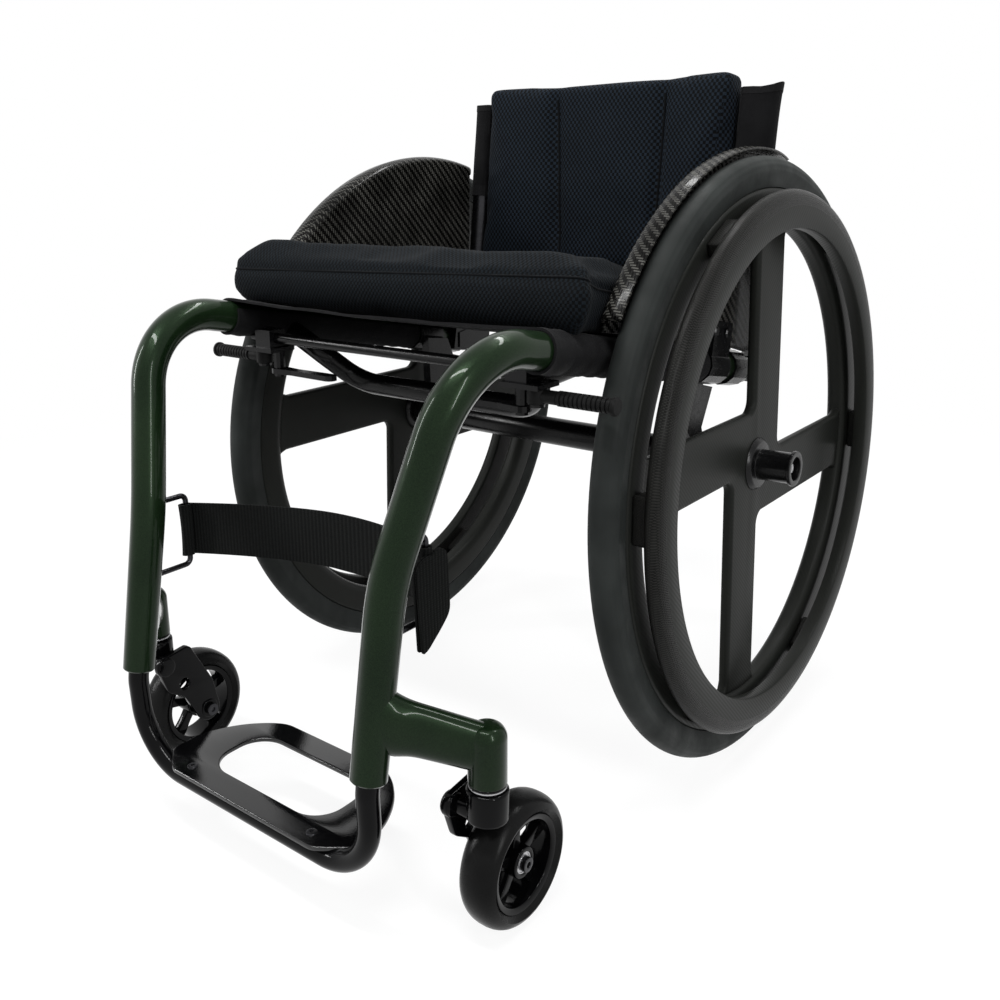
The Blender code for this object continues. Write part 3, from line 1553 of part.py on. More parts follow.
# Side guard: a flat shield that curls outward over the tyre
guard_rows = []
rear_run = [
    Vector((0.0540, seat_z(0.0540) + GUARD_SEAT_RISE)),
    Vector((0.0600, 0.435)),
    Vector((0.0612, 0.463)),
    Vector((0.0750, 0.483)),
    Vector((0.0765, 0.591)),
]
front_y = (GUARD_RADIUS - GUARD_CURL) * math.cos(GUARD_START) - 0.001
low_points = []
for share in (0, 0.14, 0.32, 0.50, 0.66, 0.82):
    low_y = front_y + (rear_run[0].x - front_y) * share
    low_points.append(Vector((low_y, seat_z(low_y) + GUARD_SEAT_RISE)))
low_points += rear_run
guard_form = bmesh.new()
for index, low in enumerate(low_points):
    share = index / (len(low_points) - 1)
    angle = GUARD_START + (GUARD_END - GUARD_START) * share
    out = Vector((math.cos(angle), math.sin(angle)))

    def ring(x, radius):
        return (x, out.x * radius, AXLE_HEIGHT + out.y * radius)

    top = Vector((out.x, out.y)) * (GUARD_RADIUS - GUARD_CURL) + Vector((0, AXLE_HEIGHT))
    fade = math.sin(min(1, (angle - GUARD_END) / GUARD_FADE) * math.pi / 2)
    rear_reach = GUARD_X + GUARD_REAR_REACH
    reach = rear_reach + (GUARD_FLANGE_X - rear_reach) * fade
    row = [
        ring(reach, GUARD_RADIUS - 0.0015),
        ring(GUARD_X + 0.012, GUARD_RADIUS),
        ring(GUARD_X + 0.0030, GUARD_RADIUS - 0.0020),
        (GUARD_X, top.x, top.y),
        (GUARD_X, *low),
    ]
    guard_rows.append([guard_form.verts.new(point) for point in row])
for row, after in zip(guard_rows, guard_rows[1:]):
    for index in range(len(row) - 1):
        guard_form.faces.new((row[index], row[index + 1], after[index + 1], after[index]))
bmesh.ops.recalc_face_normals(guard_form, faces=guard_form.faces)
guard_mesh = bpy.data.meshes.new("side_guard_left")
guard_form.to_mesh(guard_mesh)
guard_form.free()
guard = put(guard_mesh, "side_guard_left", left_side, GUARD_CARBON)
skin = guard.modifiers.new("thickness", "SOLIDIFY")
skin.thickness = GUARD_THICK
skin.offset = 0
applied(guard)
cut(guard, *guard_holes)
smooth(guard)

# Back bracket: a clamp on the seat tube, two ears and the hinge pin between them
back_clamp_place = (SEAT_TUBE_X, BACK_CLAMP_Y, seat_z(BACK_CLAMP_Y))
back_bracket = rod(
    "back_bracket_left",
    SEAT_CLAMP_RADIUS,
    -BACK_CLAMP_LENGTH / 2,
    BACK_CLAMP_LENGTH / 2,
    12,
    left_side,
    SATIN_BLACK,
    back_clamp_place,
    along_seat,
)
ear_room = POST_RADIUS + 2 * GAP
ear_low_z = seat_z(BACK_CLAMP_Y) - EAR_FOOT_DROP
ear_front_y = SEAT_TUBE_END_Y + 0.0045
ear_outline = [
    (BACK_CLAMP_Y - 0.006, ear_low_z + 0.002),
    (ear_front_y + 0.004, ear_low_z - 0.008),
    (ear_front_y + 0.020, ear_low_z - 0.002),
]
ear_outline += arc((BACK_PIVOT_Y, BACK_PIVOT_Z), EAR_RADIUS, math.radians(-20), math.radians(166), 6)
ear_outline += [(ear_front_y, ear_low_z + 0.026), (BACK_CLAMP_Y - 0.006, ear_low_z + 0.020)]
ears = []
for name, place_x in (("inner", POST_X - ear_room), ("outer", POST_X + ear_room)):
    shift = -EAR_THICK / 2 if name == "inner" else EAR_THICK / 2
    ears.append(
        to_mesh(
            flat(
                f"{name}_ear_form",
                [ear_outline],
                EAR_THICK,
                left_side,
                None,
                (place_x + shift, 0, 0),
                SIDEWAYS,
            )
        )
    )
web = block(
    "ear_web_form",
    (POST_X - ear_room - EAR_THICK * 0.5, -BACK_CLAMP_LENGTH * 0.42, -EAR_WEB_LOW),
    (POST_X + ear_room + EAR_THICK * 0.5, BACK_CLAMP_LENGTH * 0.42, EAR_WEB_HIGH),
    left_side,
    None,
    (0, BACK_CLAMP_Y, seat_z(BACK_CLAMP_Y)),
    (-SEAT_ANGLE, 0, 0),
)
hinge_pin = rod(
    "hinge_pin_form",
    HINGE_PIN_RADIUS,
    POST_X - ear_room - EAR_THICK - EAR_PIN_END,
    POST_X + ear_room + EAR_THICK * 0.8,
    14,
    left_side,
    None,
    (0, BACK_PIVOT_Y, BACK_PIVOT_Z),
    ALONG_X,
)
join(back_bracket, web, *ears, hinge_pin)
cut(back_bracket, seat_tube_clearance)
smooth(back_bracket)

# Backrest, hinged about a line through both pins
hinge = empty("backrest_axis", (0, BACK_PIVOT_Y, BACK_PIVOT_Z), (-BACK_LEAN, 0, 0), origin)
left_hinge = empty("backrest_axis_left", parent=hinge)
post = rod(
    "back_post_left",
    POST_RADIUS,
    -POST_RADIUS,
    POST_LENGTH + 0.0015,
    14,
    left_hinge,
    SATIN_BLACK,
    (POST_X, 0, 0),
)
pin_bore = rod(
    "post_pin_bore",
    around_flats(HINGE_PIN_RADIUS + RUNNING_GAP, 14),
    -0.02,
    0.02,
    14,
    left_hinge,
    None,
    (POST_X, 0, 0),
    ALONG_X,
)
cut(post, pin_bore)
smooth(post)
bar_turn = POST_X - BACK_BAR_BEND * 0.75
back_bar_path = rounded_path(
    [
        (-POST_X, 0, BACK_BAR_HEIGHT),
        (-bar_turn, BACK_BAR_BOW, BACK_BAR_HEIGHT),
        (bar_turn, BACK_BAR_BOW, BACK_BAR_HEIGHT),
        (POST_X, 0, BACK_BAR_HEIGHT),
    ],
    [BACK_BAR_BEND, BACK_BAR_BEND],
    math.radians(22),
)
back_bar = to_mesh(
    tube("back_cross_bar", back_bar_path, BACK_BAR_RADIUS, hinge, SATIN_BLACK, 10)
)
post_cutters = [
    rod(
        f"post_cope_{number}",
        around_flats(POST_RADIUS + GAP, 16),
        -0.02,
        POST_LENGTH + 0.05,
        16,
        hinge,
        None,
        (side * POST_X, 0, 0),
    )
    for number, side in enumerate((-1, 1))
]
cut(back_bar, *post_cutters)
smooth(back_bar)
back_sleeve_outer = POST_RADIUS + GAP + SLEEVE_WALL
back_sling = flat(
    "back_sling",
    hammock(
        POST_X,
        around_flats(POST_RADIUS + GAP, 16),
        back_sleeve_outer,
        SLING_THICK,
        0,
    ),
    BACK_SLING_HEIGHT,
    hinge,
    CLOTH,
    (0, 0, POST_LENGTH - BACK_SLING_HEIGHT / 2),
)


def pad(name, size, cuts, shape, parent, paint, location, rotation=(0, 0, 0)):
    """A coarse cage with edge rows where asked, shaped by a rule, then subdivided."""
    form = bmesh.new()
    bmesh.ops.create_cube(form, size=1)
    bmesh.ops.scale(form, verts=form.verts, vec=size)
    for axis, places in enumerate(cuts):
        for place in places:
            where = [0, 0, 0]
            where[axis] = place * size[axis]
            normal = [0, 0, 0]
            normal[axis] = 1
            bmesh.ops.bisect_plane(
                form,
                geom=list(form.verts) + list(form.edges) + list(form.faces),
                dist=1e-7,
                plane_co=where,
                plane_no=normal,
            )
    for vert in form.verts:
        vert.co = shape(vert.co)
    mesh = bpy.data.meshes.new(name)
    form.to_mesh(mesh)
    form.free()
    made = put(mesh, name, parent, paint, location, rotation)
    soften = made.modifiers.new("soften", "SUBSURF")
    soften.levels = 1
    soften.render_levels = 1
    mesh.shade_smooth()
    return made


def seat_form(place):
    across = min(1, abs(place.x) / CUSHION_HALF_WIDTH)
    back = min(1, abs(place.y) / (CUSHION_LENGTH / 2))
    middle = (1 - across**4) * (1 - back**4)
    height = place.z / (CUSHION_THICK / 2)
    tuck = 1 - CUSHION_TUCK / CUSHION_HALF_WIDTH * (abs(height) > 0.9)
    lift = CUSHION_CROWN * middle if height > 0.9 else 0
    ahead_share = -place.y / CUSHION_LENGTH
    front = max(0, ahead_share - 0.38) / 0.12
    belly = CUSHION_BULGE * (0.35 if abs(height) > 0.9 else 1)
    spread = min(1, front * 1.5) if ahead_share > 0.40 else -0.2 * (ahead_share > 0.3)
    wide = 1 + belly * spread / CUSHION_HALF_WIDTH
    ahead = belly * 0.8 * front
    return Vector((place.x * tuck * wide, place.y * tuck - ahead, place.z + lift))


cushion_rest = max(SLEEVE_OUTER, SEAT_CLAMP_RADIUS) + GAP
cushion_mid_y = CUSHION_FRONT_Y + CUSHION_LENGTH / 2 * math.cos(SEAT_ANGLE)
cushion_up = Vector((0, math.sin(SEAT_ANGLE), math.cos(SEAT_ANGLE)))
cushion_base = Vector((0, cushion_mid_y, seat_z(cushion_mid_y)))
pad(
    "seat_cushion",
    (2 * CUSHION_HALF_WIDTH, CUSHION_LENGTH, CUSHION_THICK),
    (
        (-0.46, -0.38, 0, 0.38, 0.46),
        (-0.46, -0.38, 0, 0.38, 0.46),
        (-0.30, 0.30),
    ),
    seat_form,
    origin,
    MESH,
    cushion_base + cushion_up * (cushion_rest + CUSHION_THICK / 2),
    (-SEAT_ANGLE, 0, 0),
)


def back_form(place):
    depth = place.y / (BACK_CUSHION_THICK / 2)
    channel = 1 - min(1, abs(abs(place.x) - BACK_CHANNEL_X) / BACK_CHANNEL_HALF)
    sunk = BACK_CHANNEL_DEPTH * max(0, channel) if depth < -0.9 else 0
    swell = 0
    if depth < -0.9:
        rise = min(1, abs(place.z) / (BACK_CUSHION_HEIGHT / 2))
        swell = 0.003 * (1 - rise**4) * (1 - channel if channel > 0 else 1)
    return Vector((place.x, place.y + sunk - swell, place.z))


cushion_width = 2 * BACK_CUSHION_HALF
channel_share = BACK_CHANNEL_X / cushion_width
channel_step = BACK_CHANNEL_HALF / cushion_width
across_cuts = []
for side in (-1, 1):
    across_cuts += [side * 0.472]
    across_cuts += [side * (channel_share + step * channel_step) for step in (-1, 0, 1)]
sheet_front = back_sleeve_outer - SLING_THICK
pad(
    "back_cushion",
    (cushion_width, BACK_CUSHION_THICK, BACK_CUSHION_HEIGHT),
    (across_cuts, (0,), (-0.455, -0.34, 0.34, 0.455)),
    back_form,
    hinge,
    MESH,
    (
        0,
        sheet_front - GAP - 0.0006 - BACK_CUSHION_THICK / 2,
        POST_LENGTH + BACK_CUSHION_RISE - BACK_CUSHION_HEIGHT / 2,
    ),
)

# Footrest: one bent tube that slides in both legs, and a plate on it
slide = empty("footrest_axis", (0, LEG_END_Y, LEG_END_Z), parent=origin)
insert_z = LEG_END_Z + FOOT_INSERTION * LEG_AXIS.z
half_path = [
    (LEG_X, leg_y(insert_z), insert_z),
    (LEG_X, leg_y(FOOT_BEND_Z), FOOT_BEND_Z),
    (LEG_X, FOOT_BAR_Y, FOOT_BAR_Z),
]
foot_corners = [Vector(place) - slide.location for place in half_path]
foot_corners += [Vector((-place.x, place.y, place.z)) for place in reversed(foot_corners)]
foot_path = rounded_path(
    foot_corners,
    [FOOT_BEND, FOOT_CORNER, FOOT_CORNER, FOOT_BEND],
    math.radians(14),
)
tube("footrest_tube", foot_path, FOOT_TUBE_RADIUS, slide, GLOSS_BLACK, 10)
plate_half = [
    (PLATE_FRONT_HALF, PLATE_FRONT_Y),
    (PLATE_FRONT_HALF + 0.010, PLATE_FRONT_Y + 0.0065),
    (PLATE_HALF_WIDTH - 0.003, PLATE_SIDE_START_Y - 0.006),
    (PLATE_HALF_WIDTH, PLATE_SIDE_START_Y),
    (PLATE_HALF_WIDTH, PLATE_SIDE_END_Y),
    (PLATE_HALF_WIDTH - 0.004, PLATE_SIDE_END_Y + 0.013),
    (PLATE_HALF_WIDTH - 0.012, PLATE_SIDE_END_Y + 0.029),
    (PLATE_WAIST_HALF, PLATE_WAIST_Y),
    (PLATE_REAR_HALF + 0.016, PLATE_REAR_Y + -0.0095),
    (PLATE_REAR_HALF, PLATE_REAR_Y),
]
plate_loop = plate_half + [(-across, along) for across, along in reversed(plate_half)]
foot_plate = to_mesh(
    flat(
        "footplate",
        [plate_loop, rounded_box(OPENING_HALF, OPENING_FRONT_Y, OPENING_REAR_Y, OPENING_CORNER)],
        PLATE_THICK,
        slide,
        GLOSS_BLACK,
        Vector((0, 0, PLATE_TOP - PLATE_THICK / 2)) - slide.location,
    )
)
foot_plate_cutter = to_mesh(
    tube(
        "plate_groove_form",
        foot_path,
        around_flats(FOOT_TUBE_RADIUS + GAP, 10),
        slide,
        None,
        10,
    )
)
cut(foot_plate, foot_plate_cutter)
smooth(foot_plate)

# Calf strap: a staple behind each leg and a webbing band between them
staple_places = {}
for side, word in ((1, "left"), (-1, "right")):
    centre_z = STRAP_MID_Z + side * STRAP_TILT * LEG_X
    if side > 0:
        centre_z -= STRAP_DROP
    wire = []
    leg_back = TUBE_RADIUS / LEG_AXIS.z
    upper = centre_z + STAPLE_HALF_HEIGHT
    lower = centre_z - STAPLE_HALF_HEIGHT
    mid_y = leg_y(centre_z) + leg_back + STAPLE_REACH
    staple_places[side] = mid_y
    wire = rounded_path(
        [
            (side * LEG_X, leg_y(upper), upper),
            (side * LEG_X, mid_y, upper),
            (side * LEG_X, mid_y, lower),
            (side * LEG_X, leg_y(lower), lower),
        ],
        [STAPLE_BEND, STAPLE_BEND],
        math.radians(45),
    )
    staple = to_mesh(tube(f"strap_ring_{word}", wire, STAPLE_RADIUS, origin, STEEL, 6))
    leg_path = [Vector((side * place.x, place.y, place.z)) for place in side_path]
    leg_cutter = to_mesh(
        tube(
            f"staple_cope_{word}",
            leg_path,
            around_flats(TUBE_RADIUS + GAP, 14),
            origin,
            None,
            14,
            taper,
        )
    )
    cut(staple, leg_cutter)
    smooth(staple)
strap_y = (staple_places[1] + staple_places[-1]) / 2
strap = to_mesh(
    flat(
        "calf_strap",
        hammock(
            LEG_X,
            around_flats(STAPLE_RADIUS + GAP, 10) + 0.0012,
            STAPLE_RADIUS + GAP + 0.0012 + STRAP_THICK + 0.0004,
            STRAP_THICK,
            -STRAP_SAG,
            10,
            10,
        ),
        STRAP_WIDTH,
        origin,
        WEBBING,
        (0, strap_y, STRAP_MID_Z),
    )
)
slant = Matrix.Identity(4)
slant[2][0] = STRAP_TILT
slant[1][0] = (staple_places[1] - staple_places[-1]) / (2 * LEG_X)
strap.data.transform(slant)
for vert in strap.data.vertices:
    vert.co.z -= STRAP_DROP * (max(0, vert.co.x) / LEG_X) ** 2
tail = to_mesh(
    flat(
        "strap_tail_form",
        [STRAP_TAIL],
        STRAP_TAIL_THICK,
        origin,
        None,
        (STRAP_TAIL_X + STRAP_TAIL_THICK / 2, 0, 0),
        SIDEWAYS,
    )
)
join(strap, tail)
smooth(strap)

# The right side repeats the left, mirrored
right_side = empty("right_side", parent=origin)
right_side.scale = (-1, 1, 1)
right_hinge = empty("backrest_axis_right", parent=hinge)
right_hinge.scale = (-1, 1, 1)
twins = {left_side: right_side, left_hinge: right_hinge}
for source in list(parts.objects):
    if source.parent not in twins or source in twins.values():
        continue
    twin = source.copy()
    twin.name = source.name.replace("left", "right")
    twin.parent = twins[source.parent]
    parts.objects.link(twin)
    twins[source] = twin
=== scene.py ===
"""Rigid ultralight wheelchair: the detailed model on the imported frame.

Metres, +Z up, the user faces -Y and +X is the user's left. Sizes named below are
taken from the rear axle: their Y = 0 lies at LIFT_Y in the scene.
"""

import json
import math

import bmesh
import bpy
from mathutils import Matrix, Vector, noise
from mathutils.bvhtree import BVHTree


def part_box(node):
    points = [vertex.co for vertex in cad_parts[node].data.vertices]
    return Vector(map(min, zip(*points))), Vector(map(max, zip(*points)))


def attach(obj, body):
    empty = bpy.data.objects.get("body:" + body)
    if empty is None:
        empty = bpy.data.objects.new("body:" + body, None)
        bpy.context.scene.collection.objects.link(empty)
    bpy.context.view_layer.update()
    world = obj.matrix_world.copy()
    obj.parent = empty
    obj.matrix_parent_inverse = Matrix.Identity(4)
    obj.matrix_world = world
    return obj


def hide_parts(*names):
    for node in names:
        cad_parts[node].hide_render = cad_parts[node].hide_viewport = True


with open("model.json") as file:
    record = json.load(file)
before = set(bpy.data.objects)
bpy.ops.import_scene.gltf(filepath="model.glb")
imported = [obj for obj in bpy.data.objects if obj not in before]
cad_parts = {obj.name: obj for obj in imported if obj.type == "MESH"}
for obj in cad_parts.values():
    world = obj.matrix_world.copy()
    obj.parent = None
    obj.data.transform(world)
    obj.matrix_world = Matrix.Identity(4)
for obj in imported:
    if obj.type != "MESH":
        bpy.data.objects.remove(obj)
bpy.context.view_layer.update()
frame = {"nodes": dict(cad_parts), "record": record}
nodes = frame["nodes"]

# Clearances between pieces
GAP = 0.0003
RUNNING_GAP = 0.0004

# Rear wheels, 24 inch
TYRE_RADIUS = 0.300
TYRE_SECTION = 0.0134
TYRE_BASE_HALF = 0.0106
CAMBER = math.radians(1.86)
WHEEL_OFFSET = 0.0402
TYRE_HEIGHT = 0.0295
WHEEL_STEPS = 180
RIM_DEPTH = 0.032
RIM_HALF_WIDTH = 0.0121
RIM_INNER_HALF = 0.0068
SPOKE_WIDTH = 0.0618
SPOKE_OFFSET = 0.0238
SPOKE_HALF_THICK = 0.0056
SPOKE_FILLET = 0.012
SPOKE_FLARE = 0.008

# Handrims
HANDRIM_FACE = 0.0379
HANDRIM_BACK = 0.0235
HANDRIM_INSET = 0.0017
HANDRIM_BAND = 0.037
TAB_COUNT = 6
TAB_PHASE = math.radians(3)
TAB_LENGTH = 0.043
TAB_INSET = 0.0033
TAB_HEIGHT = 0.0185

# Hubs and quick-release axles
HUB_RADIUS = 0.0195
HUB_FLANGE_RADIUS = 0.0275
HUB_FLANGE_THICK = 0.0045
HUB_INNER_END = 0.024
KNOB_RADIUS = 0.0155
KNOB_LIP_RADIUS = 0.0176
KNOB_LIP = 0.0036
KNOB_END = 0.046
KNOB_RECESS_RADIUS = 0.0118
KNOB_RECESS_DEPTH = 0.016
AXLE_RADIUS = 0.006
AXLE_HEAD_RADIUS = 0.0096
AXLE_HEAD_THICK = 0.0068
AXLE_INNER_LENGTH = 0.074
BUTTON_RADIUS = 0.005
BUTTON_LENGTH = 0.0075
BUTTON_TRAVEL = 0.004

# Side frames
TUBE_RADIUS = 0.0155
LEG_END_RADIUS = 0.0145
LEG_INSET = 0.0379
SEAT_TUBE_X = 0.1845
LEG_END_Y = -0.4885
LEG_END_Z = 0.152
KNEE_Y = -0.4613
KNEE_Z = 0.301
KNEE_BEND = 0.25
FRONT_CORNER_Y = -0.4161
FRONT_CORNER_Z = 0.4743
FRONT_BEND = 0.075
SEAT_SLOPE = 0.191
SEAT_TUBE_END_Y = 0.044
PLUG_BORE_RADIUS = 0.0123
PLUG_DEPTH = 0.016
PLUG_FLANGE = 0.003

# Caster arms and stem housings
STEM_OFFSET = 0.0646
STEM_Y = -0.4262
HOUSING_RADIUS = 0.0153
HOUSING_BOTTOM = 0.1457
HOUSING_TOP = 0.1945
ARM_LEG_Z = 0.2004
ARM_HOUSING_Z = 0.1735
ARM_HALF_HEIGHT_LEG = 0.0232
ARM_HALF_HEIGHT_HOUSING = 0.0205
ARM_HALF_THICK = 0.012
ARM_FLARE = 0.0035
ARM_SIDES = 40
ARM_RINGS = 26
STEM_BEARING_RADIUS = 0.011
STEM_BEARING_LENGTH = 0.036
STEM_COLLAR_RADIUS = 0.0147
STEM_COLLAR = 0.0036
STEM_RADIUS = 0.006

# Caster forks and wheels
CASTER_RADIUS = 0.0559
CASTER_HALF_WIDTH = 0.0178
CASTER_TRAIL = 0.0366
CASTER_INSET = 0.0027
CROWN_RADIUS = 0.0168
CROWN_HEIGHT = 0.027
BLADE_THICK = 0.0068
BLADE_WHEEL_GAP = 0.0032
BLADE_HALF_WIDTH = 0.0165
LOBE_REACH = 0.0205
LOBE_RADIUS = 0.0105
LOBE_DROP = 0.006
BLADE_HOLE_RADIUS = 0.006
BLADE_HOLE = (0.0092, 0.095)
CROWN_STUB = 0.006
CASTER_BULGE = 0.0125
CASTER_TYRE_INNER = 0.0415
CASTER_RIM_HALF = 0.0145
CASTER_RIM_THICK = 0.0058
CASTER_HUB_RADIUS = 0.0132
CASTER_HUB_HALF = 0.0115
CASTER_SPOKES = 5
CASTER_SPOKE_WIDTH = 0.010
CASTER_SPOKE_HALF_THICK = 0.0045
CASTER_BEARING_RADIUS = 0.0092
CASTER_BOLT_RADIUS = 0.004
CASTER_BOLT_HEAD_RADIUS = 0.0062

# Footrest
FOOT_TUBE_RADIUS = 0.0093
FOOT_BEND_Z = 0.142
FOOT_BEND = 0.045
FOOT_BAR_Y = -0.4877
FOOT_CORNER = 0.055
FOOT_INSERTION = 0.066
PLATE_TOP = 0.0757
PLATE_THICK = 0.004
PLATE_FRONT_Y = -0.5008
PLATE_FRONT_TAPER = 0.0284
PLATE_SIDE_INSET = 0.0282
PLATE_SIDE_START_Y = -0.4759
PLATE_SIDE_END_Y = -0.4496
PLATE_WAIST_TAPER = 0.0217
PLATE_WAIST_Y = -0.407
PLATE_REAR_Y = -0.3829
PLATE_REAR_TAPER = 0.053
PLATE_SCREW_X = 0.078
OPENING_SIDE_BAND = 0.0456
OPENING_FRONT_Y = -0.4748
OPENING_REAR_Y = -0.4095
OPENING_CORNER = 0.027

# Camber tube and axle brackets
CAMBER_TUBE_RADIUS = 0.0155
CAMBER_TUBE_BORE = 0.0124
CAMBER_TUBE_INSET = 0.0085
SEAT_CLAMP_RADIUS = 0.0185

# Seat sling
SLEEVE_WALL = 0.0019
SLING_FRONT_Y = -0.3252
SLING_REAR_Y = -0.0577
SLING_THICK = 0.0022
SHEET = 0.0016
SEAT_SAG = 0.0042
HEM_WIDTH = 0.027

# Bars under the seat
U_BAR_RADIUS = 0.0105
U_BAR_Y = -0.2523
U_BAR_SHOULDER_INSET = 0.0545
U_BAR_SHOULDER_Z = 0.4155
U_BAR_LOW_INSET = 0.0765
U_BAR_LOW_Y = -0.2191
U_BAR_LOW_Z = 0.382
U_BAR_BENDS = [0.026, 0.036, 0.036, 0.026]
BAR_TUCK = 0.008
FRONT_BAR_RADIUS = 0.005
FRONT_BAR_LEAD = 0.0025
FRONT_BAR_DROP = 0.01667

# Brakes
SHOE_RADIUS = 0.0063
SHOE_ROOM = 0.02026
SHOE_DROP = 0.0202
SHOE_END_REACH = 0.0152
SHOE_PIVOT_INSET = 0.0189
SHOE_EYE_RADIUS = 0.0085
SHOE_FLANGE_RADIUS = 0.0076
PIVOT_PIN_RADIUS = 0.0035
RIBS = 12

# Backrest
BACK_PIVOT_Y = 0.0689
BACK_PIVOT_Z = 0.4543
BACK_TOP_Y = 0.0947
BACK_TOP_Z = 0.6660
POST_INSET = 0.0077
POST_RADIUS = 0.0124
EAR_RADIUS = 0.0112
BACK_BAR_RADIUS = 0.008
BACK_BAR_HEIGHT = 0.070
BACK_BAR_BOW = 0.030
BACK_BAR_BEND = 0.018
BACK_SLING_HEIGHT = 0.106
POCKET_IN = 0.0245
POCKET_IN_FAR = 0.0135
BACK_CUSHION_INSET = 0.027
BACK_CUSHION_HEIGHT = 0.195
BACK_CUSHION_THICK = 0.044
BACK_CUSHION_RISE = 0.013
BACK_PANEL_WIDTH = 0.0821
BACK_CHANNEL_HALF = 0.010
BACK_CHANNEL_DEPTH = 0.007
BACK_LOWER = 0.007
BACK_OVER = 0.0125

# Seat cushion
CUSHION_SIDE_ROOM = 0.0027
CUSHION_REAR_ROOM = 0.0201
CUSHION_THICK = 0.0578
CUSHION_SETBACK = 0.0289
CUSHION_CROWN = 0.005
CUSHION_TUCK = 0.003
CUSHION_BULGE = 0.012
SEAM_RAYS = 720

# Side guards
GUARD_OFFSET = 0.0107
GUARD_THICK = 0.0025
GUARD_ROOM = 0.0075
GUARD_FLANGE = 0.0192
GUARD_START = math.radians(145.5)
GUARD_END = math.radians(74.7)
GUARD_CURL = 0.0065
GUARD_FADE = math.radians(11)
GUARD_REAR_REACH = 0.014
GUARD_SEAT_RISE = 0.020
GUARD_FLAT = 0.0034
GUARD_STATIONS = 110
CURL_STEPS = 10
FLAT_STEPS = 14

# Calf strap
STRAP_WIDTH = 0.050
STRAP_THICK = 0.0022
STRAP_SAG = 0.020
STRAP_MID_Z = 0.2853
STRAP_TILT = 0.105
STRAP_DROP = 0.008
STRAP_TAIL_OFFSET = 0.0034
STRAP_TAIL = [
    (-0.437, 0.310), (-0.437, 0.238), (-0.430, 0.240), (-0.412, 0.252), (-0.400, 0.262), (-0.400, 0.316)
]
STAPLE_RADIUS = 0.0026
STAPLE_REACH = 0.030
STAPLE_HALF_HEIGHT = 0.034
STAPLE_BEND = 0.006

# Values that follow from the sizes above
LEG_X = SEAT_TUBE_X - LEG_INSET
HALF_TRACK = SEAT_TUBE_X + WHEEL_OFFSET
STEM_X = LEG_X + STEM_OFFSET
CAMBER_TUBE_END = SEAT_TUBE_X - CAMBER_TUBE_INSET
U_BAR_SHOULDER_X = SEAT_TUBE_X - U_BAR_SHOULDER_INSET
U_BAR_LOW_X = SEAT_TUBE_X - U_BAR_LOW_INSET
SHOE_PIVOT_X = SEAT_TUBE_X - SHOE_PIVOT_INSET
SHOE_END_X = HALF_TRACK + SHOE_END_REACH
POST_X = SEAT_TUBE_X - POST_INSET
GUARD_X = SEAT_TUBE_X + GUARD_OFFSET
GUARD_FLANGE_X = GUARD_X + GUARD_FLANGE
CUSHION_HALF_WIDTH = GUARD_X - CUSHION_SIDE_ROOM
BACK_CUSHION_HALF = POST_X - BACK_CUSHION_INSET
BACK_CHANNEL_X = BACK_CUSHION_HALF - BACK_PANEL_WIDTH
PLATE_HALF_WIDTH = LEG_X - PLATE_SIDE_INSET
PLATE_FRONT_HALF = PLATE_HALF_WIDTH - PLATE_FRONT_TAPER
PLATE_WAIST_HALF = PLATE_HALF_WIDTH - PLATE_WAIST_TAPER
PLATE_REAR_HALF = PLATE_HALF_WIDTH - PLATE_REAR_TAPER
OPENING_HALF = PLATE_HALF_WIDTH - OPENING_SIDE_BAND
STRAP_TAIL_X = LEG_X + STRAP_TAIL_OFFSET
RIM_OUTER_RADIUS = TYRE_RADIUS - TYRE_HEIGHT
RIM_INNER_RADIUS = RIM_OUTER_RADIUS - RIM_DEPTH
HANDRIM_RADIUS = RIM_OUTER_RADIUS - HANDRIM_INSET
HANDRIM_INNER_RADIUS = HANDRIM_RADIUS - HANDRIM_BAND
TAB_OUTER_RADIUS = HANDRIM_RADIUS - TAB_INSET
TAB_INNER_RADIUS = TAB_OUTER_RADIUS - TAB_HEIGHT
GUARD_RADIUS = TYRE_RADIUS + GUARD_ROOM
AXLE_HEIGHT = (TYRE_RADIUS - TYRE_SECTION) * math.cos(CAMBER) + TYRE_SECTION
CAMBER_TUBE_Z = AXLE_HEIGHT - (HALF_TRACK - CAMBER_TUBE_END) * math.tan(CAMBER)
SEAT_ANGLE = math.atan(SEAT_SLOPE)
LEG_SLOPE = (KNEE_Y - LEG_END_Y) / (KNEE_Z - LEG_END_Z)
LEG_AXIS = Vector((0, LEG_SLOPE, 1)).normalized()
FRONTMOST_Y = min(PLATE_FRONT_Y, LEG_END_Y - LEG_END_RADIUS * LEG_AXIS.z)
FOOTPRINT_CENTRE_Y = (TYRE_RADIUS + FRONTMOST_Y) / 2
SEAT_AXIS = Vector((0, 1, -SEAT_SLOPE)).normalized()
FOOT_BAR_Z = PLATE_TOP - PLATE_THICK - GAP - FOOT_TUBE_RADIUS
SLEEVE_OUTER = TUBE_RADIUS + GAP + SLEEVE_WALL
SLING_BORE = TUBE_RADIUS + GAP * 1.5
CROWN_TOP = HOUSING_BOTTOM - STEM_COLLAR - 3 * GAP
CASTER_X = STEM_X - CASTER_INSET
CASTER_Y = STEM_Y + CASTER_TRAIL
BLADE_X = CASTER_X - CASTER_HALF_WIDTH - BLADE_WHEEL_GAP - BLADE_THICK / 2
BACK_SLOPE = (BACK_TOP_Y - BACK_PIVOT_Y) / (BACK_TOP_Z - BACK_PIVOT_Z)
BACK_LEAN = math.atan(BACK_SLOPE)
POST_LENGTH = math.hypot(BACK_TOP_Y - BACK_PIVOT_Y, BACK_TOP_Z - BACK_PIVOT_Z)


def seat_z(y):
    """Height of the seat tube's centre line at a distance y behind the axle."""
    return FRONT_CORNER_Z - SEAT_SLOPE * (y - FRONT_CORNER_Y)


